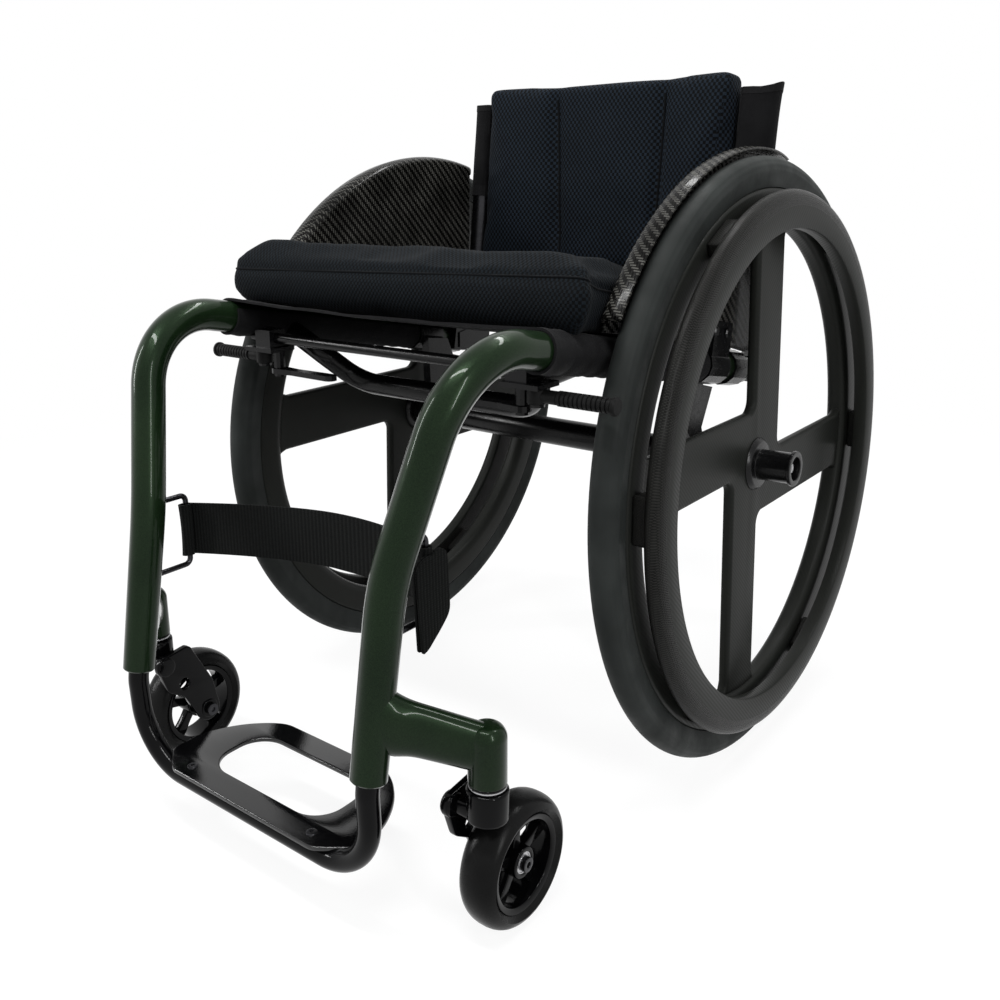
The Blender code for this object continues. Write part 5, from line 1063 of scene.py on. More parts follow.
spoke_reach = CASTER_TYRE_INNER - CASTER_RIM_THICK + 0.0015
spoke = slab(
    [
        rounded(
            [
                (0.006, -CASTER_SPOKE_WIDTH * 0.56), (0.020, -CASTER_SPOKE_WIDTH * 0.40),
                (spoke_reach, -CASTER_SPOKE_WIDTH * 0.62), (spoke_reach, CASTER_SPOKE_WIDTH * 0.62),
                (0.020, CASTER_SPOKE_WIDTH * 0.40), (0.006, CASTER_SPOKE_WIDTH * 0.56)
            ],
            0.006, 5
        )
    ],
    2 * CASTER_SPOKE_HALF_THICK, 0.0012, 2
)
hub = turned(
    [
        (CASTER_BEARING_RADIUS, CASTER_HUB_HALF), (CASTER_HUB_RADIUS, CASTER_HUB_HALF),
        (CASTER_HUB_RADIUS + 0.001, -CASTER_HUB_HALF), (CASTER_BEARING_RADIUS, -CASTER_HUB_HALF)
    ],
    0.0012, 3, 48
)
caster_forms = [rim, hub]
for number in range(CASTER_SPOKES):
    angle = math.pi / 2 + 2 * math.pi * number / CASTER_SPOKES
    caster_forms.append(at(Matrix.Rotation(angle + math.pi / 2, 4, "Z"), spoke))
pair(
    "caster_wheel_body_{side}", at(ROLLER_AT, merged(*caster_forms)), GLOSS, "{side}_caster_wheel",
    ["caster_rim_{side}"], 35
)
race = CASTER_HUB_HALF - 0.0006
bolt_bore = CASTER_BOLT_RADIUS + 0.0004
bearing = turned(
    [
        (bolt_bore, race), (0.0062, race), (0.0064, CASTER_HUB_HALF - 0.0016),
        (0.0080, CASTER_HUB_HALF - 0.0016), (0.0082, race), (CASTER_BEARING_RADIUS, race),
        (CASTER_BEARING_RADIUS, -CASTER_HUB_HALF), (bolt_bore, -CASTER_HUB_HALF)
    ],
    0.0003, 2, 40
)
pair(
    "caster_ball_bearing_{side}", at(ROLLER_AT, bearing), STEEL, "{side}_caster_wheel",
    ["caster_bearing_{side}"]
)

# Rear tyres: a rounded tread between smooth side walls with two fine rings
section_centre = TYRE_RADIUS - TYRE_SECTION
tyre_profile = [(RIM_OUTER_RADIUS + GAP, TYRE_BASE_HALF)]
for step in range(-17, 18):
    angle = -math.radians(6.2 * step)
    reach = TYRE_SECTION
    if abs(step) in (9, 13):
        reach -= 0.0004
    tyre_profile.append((section_centre + reach * math.cos(angle), reach * math.sin(angle)))
tyre_profile += [(RIM_OUTER_RADIUS + GAP, -TYRE_BASE_HALF)]
pair(
    "rear_tyre_body_{side}", at(WHEEL_AT, lathe(tyre_profile, WHEEL_STEPS)), TYRE, "{side}_wheel",
    ["rear_tyre_{side}"], 50
)

# Rear wheels: hollow rim and four offset spokes
rim = turned(
    [
        (RIM_INNER_RADIUS, RIM_INNER_HALF), (RIM_INNER_RADIUS + 0.007, RIM_HALF_WIDTH),
        (RIM_OUTER_RADIUS, RIM_HALF_WIDTH), (RIM_OUTER_RADIUS, -RIM_HALF_WIDTH),
        (RIM_INNER_RADIUS + 0.007, -RIM_HALF_WIDTH), (RIM_INNER_RADIUS, -RIM_INNER_HALF)
    ],
    0.004, 4, 160
)
near_edge = SPOKE_WIDTH / 2 - SPOKE_OFFSET
far_edge = SPOKE_WIDTH / 2 + SPOKE_OFFSET
end_radius = RIM_INNER_RADIUS + 0.004


def at_radius(radius, aside):
    return math.sqrt(radius**2 - aside**2), aside


spoke_loop = []
for number in range(4):
    along = Vector((math.cos(-number * math.pi / 2), math.sin(-number * math.pi / 2)))
    aside = Vector((along.y, -along.x))
    run = [
        at_radius(end_radius, -near_edge - SPOKE_FLARE), at_radius(end_radius, (far_edge - near_edge) / 2),
        at_radius(end_radius, far_edge + SPOKE_FLARE),
        at_radius(RIM_INNER_RADIUS - 0.004, far_edge + SPOKE_FLARE * 0.3),
        at_radius(RIM_INNER_RADIUS - 0.011, far_edge)
    ]
    corner = (near_edge + SPOKE_FILLET, far_edge + SPOKE_FILLET)
    run += arc(corner, SPOKE_FILLET, -math.pi / 2, -math.pi, 12)
    for depth, spread in ((0.011, 0), (0.004, 0.3)):
        reach, _ = at_radius(RIM_INNER_RADIUS - depth, near_edge + SPOKE_FLARE * spread)
        run.append((near_edge + SPOKE_FLARE * spread, reach))
    spoke_loop += [along * a + aside * b for a, b in run]
spokes = slab([spoke_loop], 2 * SPOKE_HALF_THICK, 0.0046, 5)
pair(
    "carbon_wheel_{side}", at(WHEEL_AT, merged(rim, spokes)), WHEEL_CARBON, "{side}_wheel",
    ["rear_wheel_{side}"], 35
)

# Handrims: a smooth flat face, a woven curved outer edge, woven tabs
face = beside(HANDRIM_INNER_RADIUS, HANDRIM_BACK, ((0.0040, 0), (0.0012, 0.0004), (0, 0.0020)))
face += beside(HANDRIM_INNER_RADIUS, HANDRIM_FACE, ((0, -0.0024), (0.0006, -0.0008), (0.0022, 0)))
face += beside(HANDRIM_RADIUS, HANDRIM_FACE, ((-0.0200, 0), (-0.0160, -0.0001)))
outer = beside(
    HANDRIM_RADIUS, HANDRIM_FACE,
    (
        (-0.0160, -0.0001), (-0.0110, -0.0006), (-0.0066, -0.0018), (-0.0034, -0.0036), (-0.0012, -0.0062),
        (-0.0002, -0.0092)
    )
)
outer += beside(HANDRIM_RADIUS, HANDRIM_BACK, ((-0.0008, 0.0028), (-0.0030, 0.0008), (-0.0070, 0)))
outer += [(HANDRIM_INNER_RADIUS + 0.0040, HANDRIM_BACK)]
pair(
    "handrim_face_{side}", at(WHEEL_AT, lathe(face, WHEEL_STEPS, False)), WHEEL_CARBON, "{side}_wheel",
    ["handrim_{side}"], 40
)
tabs = []
for number in range(TAB_COUNT):
    turn = Matrix.Rotation(math.pi / 2 - TAB_PHASE + 2 * math.pi * number / TAB_COUNT, 4, "Z")
    tab = box_form(
        (TAB_INNER_RADIUS, -TAB_LENGTH / 2, RIM_HALF_WIDTH + GAP),
        (TAB_OUTER_RADIUS, TAB_LENGTH / 2, HANDRIM_FACE - 0.0055), 0.0028, 3
    )
    tabs.append(at(turn, tab))
pair(
    "handrim_weave_{side}", at(WHEEL_AT, merged(lathe(outer, WHEEL_STEPS, False), *tabs)), RIM_WEAVE,
    "{side}_wheel", sharp=40
)

# Hubs, axles and their buttons
flange_low = SPOKE_HALF_THICK + GAP
flange_high = flange_low + HUB_FLANGE_THICK
lip_low = KNOB_END - KNOB_LIP
recess_low = KNOB_END - KNOB_RECESS_DEPTH
axle_bore = AXLE_RADIUS + RUNNING_GAP
hub = turned(
    [
        (KNOB_RECESS_RADIUS, KNOB_END), (KNOB_LIP_RADIUS, KNOB_END), (KNOB_LIP_RADIUS, lip_low),
        (KNOB_RADIUS, lip_low), (KNOB_RADIUS, flange_high), (HUB_FLANGE_RADIUS * 0.85, flange_high),
        (HUB_FLANGE_RADIUS, flange_low), (HUB_RADIUS, flange_low), (HUB_RADIUS, -HUB_INNER_END),
        (axle_bore, -HUB_INNER_END), (axle_bore, recess_low), (KNOB_RECESS_RADIUS, recess_low)
    ],
    0.0012, 3, 64
)
pair("hub_body_{side}", at(WHEEL_AT, hub), SATIN, "{side}_wheel", ["wheel_hub_{side}"], 30)
back_dish = turned(
    [
        (0.0200, -SPOKE_HALF_THICK - GAP), (0.029, -SPOKE_HALF_THICK - GAP), (0.026, -0.0115),
        (0.0200, -0.0115)
    ],
    0.001, 2, 56
)
pair("hub_back_plate_{side}", at(WHEEL_AT, back_dish), SATIN, "{side}_wheel")
head_low = recess_low + GAP
head_high = head_low + AXLE_HEAD_THICK
well_low = head_low + 0.0004
button_bore = BUTTON_RADIUS + RUNNING_GAP
axle = turned(
    [
        (0, well_low), (button_bore, well_low), (button_bore, head_high), (AXLE_HEAD_RADIUS, head_high),
        (AXLE_HEAD_RADIUS, head_low), (AXLE_RADIUS, head_low), (AXLE_RADIUS, -AXLE_INNER_LENGTH + 0.002),
        (AXLE_RADIUS - 0.002, -AXLE_INNER_LENGTH), (0, -AXLE_INNER_LENGTH)
    ],
    0.0008, 2, 40, False
)
pair("axle_pin_{side}", at(WHEEL_AT, axle), STEEL, "frame", ["wheel_axle_{side}"])
button_low = well_low + BUTTON_TRAVEL + GAP
button_top = button_low + BUTTON_LENGTH
button = turned(
    [
        (0, button_top - 0.0006), (BUTTON_RADIUS * 0.5, button_top - 0.0002),
        (BUTTON_RADIUS, button_top - 0.0004), (BUTTON_RADIUS, button_low), (0, button_low)
    ],
    0.0009, 3, 36, False
)
pair("button_cap_{side}", at(WHEEL_AT, button), STEEL, "{side}_axle_button", ["axle_button_{side}"])

# Footrest: one bent tube and a plate with two flush screws
foot_insert = LEG_END_Z + FOOT_INSERTION * LEG_AXIS.z
half_path = [
    (LEG_X, leg_y(foot_insert), foot_insert), (LEG_X, leg_y(FOOT_BEND_Z), FOOT_BEND_Z),
    (LEG_X, FOOT_BAR_Y, FOOT_BAR_Z)
]
foot_path = rounded_path(
    mirrored(half_path), [FOOT_BEND, FOOT_CORNER, FOOT_CORNER, FOOT_BEND], math.radians(3)
)
piece(
    "footrest_hoop", at(AT, sweep(foot_path, FOOT_TUBE_RADIUS, 36)), GLOSS, "footrest", ["footrest_tube"],
    40
)
plate_half = [
    (PLATE_FRONT_HALF, PLATE_FRONT_Y), (PLATE_FRONT_HALF + 0.010, PLATE_FRONT_Y + 0.0065),
    (PLATE_HALF_WIDTH - 0.003, PLATE_SIDE_START_Y - 0.006), (PLATE_HALF_WIDTH, PLATE_SIDE_START_Y),
    (PLATE_HALF_WIDTH, PLATE_SIDE_END_Y), (PLATE_HALF_WIDTH - 0.004, PLATE_SIDE_END_Y + 0.013),
    (PLATE_HALF_WIDTH - 0.012, PLATE_SIDE_END_Y + 0.029), (PLATE_WAIST_HALF, PLATE_WAIST_Y),
    (PLATE_REAR_HALF + 0.016, PLATE_REAR_Y - 0.0095), (PLATE_REAR_HALF, PLATE_REAR_Y)
]
plate_loop = rounded(mirrored(plate_half), 0.009, 5)
opening_loop = rounded_box(OPENING_HALF, OPENING_FRONT_Y, OPENING_REAR_Y, OPENING_CORNER, 12)
plate = slab([plate_loop, opening_loop], PLATE_THICK, 0.0012, 3)
plate_at = behind(0, 0, PLATE_TOP - PLATE_THICK / 2)
screw = turned(
    [
        (0, 0.0001), (0.0016, 0.0001), (0.0017, 0.0014), (0.0046, 0.0012), (0.0050, 0.0001),
        (0.0050, -0.001), (0, -0.001)
    ],
    0.0004, 2, 28, False
)
piece("footplate_body", at(plate_at, plate), PLATE, "footrest", ["footplate"], 35)
for number, side in enumerate((-1, 1)):
    spot = behind(side * PLATE_SCREW_X, FOOT_BAR_Y + 0.0005, PLATE_TOP)
    piece(f"footplate_screw_{number}", at(spot, screw), DARK_STEEL, "footrest")

# Camber tube, bars under the seat, back cross bar, posts
tube_round = turned(
    [
        (CAMBER_TUBE_RADIUS, CAMBER_TUBE_END), (CAMBER_TUBE_RADIUS, -CAMBER_TUBE_END),
        (CAMBER_TUBE_BORE, -CAMBER_TUBE_END), (CAMBER_TUBE_BORE, CAMBER_TUBE_END)
    ],
    0.0008, 2, 56
)
piece(
    "camber_tube_body", at(behind(0, 0, CAMBER_TUBE_Z) @ ALONG_X, tube_round), SATIN, "frame",
    ["camber_tube"]
)
bar_rise = seat_z(U_BAR_Y) - 0.006
u_half = [
    (-SEAT_TUBE_X + BAR_TUCK, U_BAR_Y, bar_rise), (-U_BAR_SHOULDER_X, U_BAR_Y, U_BAR_SHOULDER_Z),
    (-U_BAR_LOW_X, U_BAR_LOW_Y, U_BAR_LOW_Z)
]
u_path = rounded_path(mirrored(u_half), U_BAR_BENDS, math.radians(4))
piece("u_bar_body", at(AT, sweep(u_path, U_BAR_RADIUS, 32)), SATIN, "frame", ["seat_cross_bar"], 40)
front_path = [(x, FRONT_BAR_Y, FRONT_BAR_Z) for x in (-SEAT_TUBE_X + BAR_TUCK, 0, SEAT_TUBE_X - BAR_TUCK)]
piece(
    "front_bar_body", at(AT, sweep(front_path, FRONT_BAR_RADIUS, 28)), SATIN, "frame", ["front_cross_bar"],
    40
)
bar_turn = POST_X - BACK_BAR_BEND * 0.75
bar_half = [(-POST_X, 0, BACK_BAR_HEIGHT), (-bar_turn, BACK_BAR_BOW, BACK_BAR_HEIGHT)]
back_path = rounded_path(mirrored(bar_half), [BACK_BAR_BEND, BACK_BAR_BEND], math.radians(4))
piece(
    "back_bar_body", at(BACK_AT, sweep(back_path, BACK_BAR_RADIUS, 28)), SATIN, "backrest",
    ["back_cross_bar"], 40
)
post_at = BACK_AT @ Matrix.Translation((POST_X, 0, 0))
post = turned(
    [
        (0, POST_LENGTH - 0.0042), (POST_RADIUS, POST_LENGTH - 0.0042), (POST_RADIUS, -POST_RADIUS),
        (0, -POST_RADIUS)
    ],
    0.003, 4, 48, False
)
pair("post_body_{side}", at(post_at, post), SATIN, "backrest", ["back_post_{side}"])
foot_high = POST_LENGTH - BACK_SLING_HEIGHT + 0.004
foot = lathe(
    [
        (0, foot_high), (POST_RADIUS + 0.0004, foot_high), (POST_RADIUS + 0.0004, EAR_RADIUS + 0.0020),
        (0, EAR_RADIUS + 0.0020)
    ],
    40, False
)
pair("post_foot_{side}", at(post_at, foot), DARK_STEEL, "backrest")
bolt = lathe([(0, 0.0026), (0.0022, 0.0024), (0.0034, 0.0014), (0.0037, -0.001), (0, -0.001)], 28, False)
bolt_at = Matrix.Translation(
    (POST_X - POST_RADIUS, 0, EAR_RADIUS + 0.0060)
) @ Matrix.Rotation(-math.pi / 2, 4, "Y")
pair("post_bolt_{side}", at(BACK_AT @ bolt_at, bolt), STEEL, "backrest")

# Side guards: a shield that curls outward over the tyre
rear_run = [
    Vector((0.0540, seat_z(0.0540) + GUARD_SEAT_RISE)), Vector((0.0600, 0.435)), Vector((0.0612, 0.463)),
    Vector((0.0750, 0.483)), Vector((0.0765, 0.591))
]
front_y = (GUARD_RADIUS - GUARD_CURL) * math.cos(GUARD_START) - 0.001
low_run = []
for share in (0, 0.14, 0.32, 0.50, 0.66, 0.82):
    low_y = front_y + (rear_run[0].x - front_y) * share
    low_run.append(Vector((low_y, seat_z(low_y) + GUARD_SEAT_RISE)))
low_run += rear_run


def through(points, t):
    """A smooth curve through the points, at t counted in points."""
    i = min(int(t), len(points) - 2)
    s = t - i
    p = [Vector(points[max(0, min(len(points) - 1, i + k))]) for k in (-1, 0, 1, 2)]
    a = 2 * p[1]
    b = (p[2] - p[0]) * s
    c = (2 * p[0] - 5 * p[1] + 4 * p[2] - p[3]) * s**2
    d = (3 * p[1] - p[0] - 3 * p[2] + p[3]) * s**3
    return (a + b + c + d) * 0.5


guard_points = []
for station in range(GUARD_STATIONS + 1):
    share = station / GUARD_STATIONS
    angle = GUARD_START + (GUARD_END - GUARD_START) * share
    out = Vector((math.cos(angle), math.sin(angle)))
    low = through(low_run, share * (len(low_run) - 1))
    fade = math.sin(min(1, (angle - GUARD_END) / GUARD_FADE) * math.pi / 2)
    rear_reach = GUARD_X + GUARD_REAR_REACH
    reach = rear_reach + (GUARD_FLANGE_X - rear_reach) * fade
    curl = [
        (reach, GUARD_RADIUS - 0.0015), (GUARD_X + 0.018, GUARD_RADIUS - 0.0004),
        (GUARD_X + 0.0105, GUARD_RADIUS - 0.0002), (GUARD_X + 0.0040, GUARD_RADIUS - 0.0018),
        (GUARD_X + 0.0008, GUARD_RADIUS - 0.0046), (GUARD_X, GUARD_RADIUS - GUARD_CURL - 0.004)
    ]
    if reach < GUARD_X + 0.024:
        curl[1] = (GUARD_X + 0.0125, GUARD_RADIUS - 0.0003)
        curl[2] = (GUARD_X + 0.0085, GUARD_RADIUS - 0.0004)
    row = []
    for step in range(CURL_STEPS * 2 + 1):
        x, radius = through(
            [Vector((a, b, 0)) for a, b in curl], step / (CURL_STEPS * 2) * (len(curl) - 1)
        ).xy
        row.append(Vector((x, out.x * radius, AXLE_HEIGHT + out.y * radius)))
    top = row[-1]
    foot = Vector((GUARD_X, *low))
    for step in range(1, FLAT_STEPS + 1):
        row.append(top.lerp(foot, step / FLAT_STEPS))
    guard_points += row
guard_form = (guard_points, quads(GUARD_STATIONS + 1, len(row), closed=False))
guards = pair(
    "guard_panel_{side}", at(AT, guard_form), GUARD_CARBON, "frame", ["side_guard_{side}"], 60,
)
for guard in guards:
    skin = guard.modifiers.new("thickness", "SOLIDIFY")
    skin.thickness = GUARD_THICK
    skin.offset = 0
    skin.use_even_offset = False

# Brakes: ribbed shoe with a flange at its outer end
shoe_reach = SHOE_END_X - SHOE_PIVOT_X
shoe_profile = [(0, shoe_reach), (SHOE_FLANGE_RADIUS - 0.0012, shoe_reach)]
shoe_profile += [(SHOE_FLANGE_RADIUS, shoe_reach - 0.0012), (SHOE_FLANGE_RADIUS, shoe_reach - 0.0034)]
shoe_profile += [(SHOE_RADIUS - 0.0010, shoe_reach - 0.0040)]
rib_run = shoe_reach - 0.0046 - 0.020
for number in range(RIBS):
    top = shoe_reach - 0.0046 - rib_run * number / RIBS
    low = top - rib_run / RIBS * 0.62
    shoe_profile += [(SHOE_RADIUS + 0.0001, top), (SHOE_RADIUS + 0.0001, low)]
    shoe_profile += [
        (SHOE_RADIUS - 0.0011, low - 0.0003), (SHOE_RADIUS - 0.0011, top - rib_run / RIBS + 0.0003)
    ]
shoe_profile += [(SHOE_RADIUS - 0.0006, 0.0195), (SHOE_RADIUS - 0.0006, 0.0045), (0, 0.0045)]
shoe_at = behind(SHOE_PIVOT_X, SHOE_Y, SHOE_Z)
shoe_bar = at(shoe_at @ ALONG_X, lathe(shoe_profile, 40, False))
shoe_ring = ring_profile(SHOE_EYE_RADIUS, PIVOT_PIN_RADIUS + RUNNING_GAP, -SHOE_RADIUS, SHOE_RADIUS)
shoe_eye = at(shoe_at, turned(shoe_ring, 0.001, 2, 40))
pair(
    "brake_roller_{side}", merged(shoe_bar, shoe_eye), BRAKE_RUBBER, "{side}_brake_shoe",
    ["brake_shoe_{side}"], 30
)

# Calf strap: wire staples behind the legs, a webbing band with its folded end
staple_places = {}
for side, word in SIDES:
    centre_z = STRAP_MID_Z + side * STRAP_TILT * LEG_X
    if side > 0:
        centre_z -= STRAP_DROP
    leg_back = TUBE_RADIUS / LEG_AXIS.z
    upper = centre_z + STAPLE_HALF_HEIGHT
    lower = centre_z - STAPLE_HALF_HEIGHT
    mid_y = leg_y(centre_z) + leg_back + STAPLE_REACH
    staple_places[side] = mid_y
    wire = rounded_path(
        [
            (side * LEG_X, leg_y(upper) + leg_back * 0.7, upper), (side * LEG_X, mid_y, upper),
            (side * LEG_X, mid_y, lower), (side * LEG_X, leg_y(lower) + leg_back * 0.7, lower)
        ],
        [STAPLE_BEND, STAPLE_BEND], math.radians(10)
    )
    piece(
        f"strap_staple_{word}", at(AT, sweep(wire, STAPLE_RADIUS, 20)), DARK_STEEL, "frame",
        [f"strap_ring_{word}"], 40
    )


# Cords and sheets
def loop_tube(points, radius, sides=10):
    """A round cord along a closed run of points."""
    verts = []
    for i, p in enumerate(points):
        run = (points[(i + 1) % len(points)] - points[i - 1]).normalized()
        up = Vector((0, 0, 1))
        a = (up - run * up.dot(run)).normalized()
        verts += hoop(p, a, run.cross(a), radius, sides)
    return verts, quads(len(points), sides, joined=True)


def even(points, spacing):
    """The closed run of points again, at even distances."""
    lengths = [0]
    for p, q in zip(points, points[1:] + points[:1]):
        lengths.append(lengths[-1] + (q - p).length)
    total = lengths[-1]
    count = max(12, round(total / spacing))
    out = []
    i = 0
    for k in range(count):
        want = total * k / count
        while lengths[i + 1] < want:
            i += 1
        p = points[i]
        q = points[(i + 1) % len(points)]
        out.append(p.lerp(q, (want - lengths[i]) / max(1e-9, lengths[i + 1] - lengths[i])))
    return out


def sheet_form(outline, length, stations, shape):
    """A closed outline of points (across, up) run along local Z, each point moved by shape."""
    points = []
    for i in range(stations + 1):
        along = -length / 2 + length * i / stations
        points += [shape(Vector((a, b, along))) for a, b in outline]
    return capped(points, len(outline))


def thickened(run, thick):
    """The closed outline of a sheet along an open run, and the run's length."""
    back = []
    for index, (a, b) in enumerate(run):
        before = run[max(0, index - 1)]
        after = run[min(len(run) - 1, index + 1)]
        along = Vector((after[0] - before[0], after[1] - before[1])).normalized()
        back.append((a - along.y * thick, b + along.x * thick))
    length = sum((Vector(q) - Vector(p)).length for p, q in zip(run, run[1:]))
    return run + back[::-1], length


def between(span, height, sag, steps=64):
    """The points of a sheet that hangs from one tube to the other."""
    places = [span - 2 * span * k / steps for k in range(1, steps)]
    return [(a, height - sag * (1 - (a / span) ** 2)) for a in places]


def sling_outline(span, bore, thick, sag, steps=30, middle=64):
    """A sheet folded round a tube at each end and stitched back to itself: its outline and length.

    From the stitched edge under the right tube round it, across the top, and round the left one.
    """
    outer = bore + thick
    turn = math.radians(300)
    run = arc((span, 0), outer, math.pi / 2, math.pi / 2 - turn, steps)[::-1]
    run += between(span, outer, sag, middle)
    run += arc((-span, 0), outer, math.pi / 2, math.pi / 2 + turn, steps)
    return thickened(run, thick)


def ripple(p, size, scale, seed):
    """Slow folds of loose cloth."""
    return size * noise.noise(Vector((p.x * scale + seed, p.y * scale, p.z * scale * 0.5)))


# Seat sling
sling_length = (SLING_REAR_Y - SLING_FRONT_Y) / math.cos(SEAT_ANGLE)
sling_mid = (SLING_REAR_Y + SLING_FRONT_Y) / 2
sling_at = behind(0, sling_mid, seat_z(sling_mid)) @ Matrix.Rotation(math.pi / 2 - SEAT_ANGLE, 4, "X")


def sling_shape(p):
    share = max(0, 1 - (p.x / (SEAT_TUBE_X - 0.02)) ** 2)
    across = abs(p.x) / SEAT_TUBE_X
    sleeve = max(0, (across - 0.93) / 0.07)
    lift = ripple(p, 0.0016, 26, 3.0) * share
    pucker = 0.0005 * math.sin(p.z * 2 * math.pi / 0.021) * min(1, sleeve) * (1 if p.y < 0 else 0.5)
    return Vector((p.x, p.y + lift + pucker, p.z))


outline, sling_flat = sling_outline(SEAT_TUBE_X, SLING_BORE, SHEET, SEAT_SAG)
sling_piece = piece(
    "sling_seat", at(sling_at, sheet_form(outline, sling_length, 60, sling_shape)), CLOTH, "frame",
    ["seat_sling"], 50
)
outline, _ = sling_outline(SEAT_TUBE_X, SLING_BORE, SHEET + 0.0007, SEAT_SAG)


def hem_shape(p):
    return sling_shape(Vector((p.x, p.y, p.z + sling_length / 2 - HEM_WIDTH / 2 + 0.0008)))


hem_piece = piece(
    "sling_seat_hem", at(sling_at, sheet_form(outline, HEM_WIDTH, 8, hem_shape)), HEM, "frame", (), 50,
)

# Backrest sling, its sleeves closed over the posts' tops by the stitching
back_outer = POST_RADIUS + GAP * 1.5
back_sling_at = BACK_AT @ Matrix.Translation((0, 0, POST_LENGTH - BACK_SLING_HEIGHT / 2))


def fold_in(span, outer, depth):
    """The inner side of a pocket, from the sheet behind round to the post's far side."""
    points = [(span - depth - 0.0005, outer - 0.0026), (span - depth, outer - 0.008)]
    points += [(span - depth + 0.0008, 0.0), (span - depth + 0.0020, -outer + 0.0030)]
    points += [(span - depth + 0.0055, -outer + 0.0006)]
    return points + [(span - depth * 0.35, -outer + 0.0002), (span - 0.003, -outer)]


def pocket_outline(span, bore, thick, steps=18):
    """The back sheet's outline and length, with a flat fronted pocket for each post.

    The pocket at the user's left is the deeper one.
    """
    outer = bore + thick
    run = fold_in(span, outer, POCKET_IN)
    run += arc((span, 0), outer, -math.pi / 2, math.pi / 2, steps)
    run += between(span, outer, 0.0012)
    run += arc((-span, 0), outer, math.pi / 2, math.pi * 3 / 2, steps)
    run += [(-a, b) for a, b in reversed(fold_in(span, outer, POCKET_IN_FAR))]
    return thickened(run, thick)


outline, back_flat = pocket_outline(POST_X, back_outer, SHEET)


def back_shape(p):
    share = max(0, 1 - (p.x / (POST_X - 0.01)) ** 2)
    fold = ripple(p, 0.0018, 30, 9.0) * share
    loose = max(0, 1 - abs(abs(p.x) - POST_X + 0.004) / 0.024)
    front = 0.0011 * noise.noise(Vector((p.x * 60, 3.0, p.z * 26))) * loose * (p.y < 0)
    top = max(0, p.z / (BACK_SLING_HEIGHT / 2)) ** 3
    reach = (abs(p.x) - POST_X) / back_outer
    near = 1 if p.x > 0 else 0.25
    lift = top * near * (0.0030 * max(0, reach) ** 3 - 0.0010 * max(0, 1 - abs(reach)))
    splay = top * near * 0.0014 * max(0, reach) ** 2 * (1 if p.x > 0 else -1)
    return Vector((p.x + splay, p.y + fold + front, p.z + lift))


back_piece = piece(
    "sling_back", at(back_sling_at, sheet_form(outline, BACK_SLING_HEIGHT, 30, back_shape)), CLOTH,
    "backrest", ["back_sling"], 50
)
outline, _ = pocket_outline(POST_X, back_outer, SHEET + 0.0004)
for number, (place, width) in enumerate(((1, 0.007), (-1, 0.012))):

    def edge_shape(p, place=place, width=width):
        return back_shape(Vector((p.x, p.y, p.z + place * (BACK_SLING_HEIGHT / 2 - width / 2 + 0.0006))))

    piece(
            f"sling_back_hem_{number}", at(back_sling_at, sheet_form(outline, width, 4, edge_shape)), HEM,
            "backrest", sharp=50
        )
lid_reach = back_outer + SHEET * 0.5
for side, word, depth in ((1, "left", POCKET_IN), (-1, "right", POCKET_IN_FAR)):
    lid = [(-depth + 0.0014, lid_reach - 0.001), (-depth + 0.0030, -lid_reach + 0.002)]
    lid += arc((0, 0), lid_reach, -math.pi / 2, math.pi / 2, 16)
    lid_form = slab([[(side * a, b) for a, b in lid]], 0.0012, 0.0004, 1)
    lid_at = BACK_AT @ Matrix.Translation((side * POST_X, 0, POST_LENGTH - 0.0028))
    piece(
            f"sling_back_lid_{word}", at(lid_at, lid_form), CLOTH, "backrest", sharp=40
        )

# Calf strap webbing
strap_y = (staple_places[1] + staple_places[-1]) / 2
slant = Matrix.Identity(4)
slant[2][0] = STRAP_TILT
slant[1][0] = (staple_places[1] - staple_places[-1]) / (2 * LEG_X)
strap_at = behind(0, strap_y, STRAP_MID_Z) @ slant
outline, strap_flat = sling_outline(LEG_X, STAPLE_RADIUS + GAP + 0.0010, STRAP_THICK, -STRAP_SAG, 18, 60)


def strap_shape(p):
    drop = STRAP_DROP * (max(0, p.x) / LEG_X) ** 2
    curl = 0.0012 * (abs(p.z) / (STRAP_WIDTH / 2)) ** 2 * math.cos(p.x * 22)
    return Vector((p.x, p.y + curl, p.z - drop))


strap_piece = piece(
    "calf_band", at(strap_at, sheet_form(outline, STRAP_WIDTH, 16, strap_shape)), WEBBING, "frame",
    ["calf_strap"], 50
)
tail_loop = rounded([(y, z) for y, z in STRAP_TAIL], 0.012, 5)
tail = slab([tail_loop], 0.0021, 0.0005, 2)
for number, place_x in enumerate((STRAP_TAIL_X + 0.0009, STRAP_TAIL_X + 0.0034)):
    turned_tail = at(behind(place_x, 0, 0) @ SIDEWAYS, tail)
    bent = []
    for p in turned_tail[0]:
        ahead = p.y - LIFT_Y
        share = max(0, (0.30 - p.z) / 0.07)
        bent.append(Vector((p.x + 0.004 * share**2 + number * 0.002 * share, p.y, p.z)))
    piece(
            f"calf_band_tail_{number}", (bent, turned_tail[1]), WEBBING, "frame", sharp=40,
        )


# Cushions
AIR_PRESSURE = 4.0
AIR_FRAMES = 20


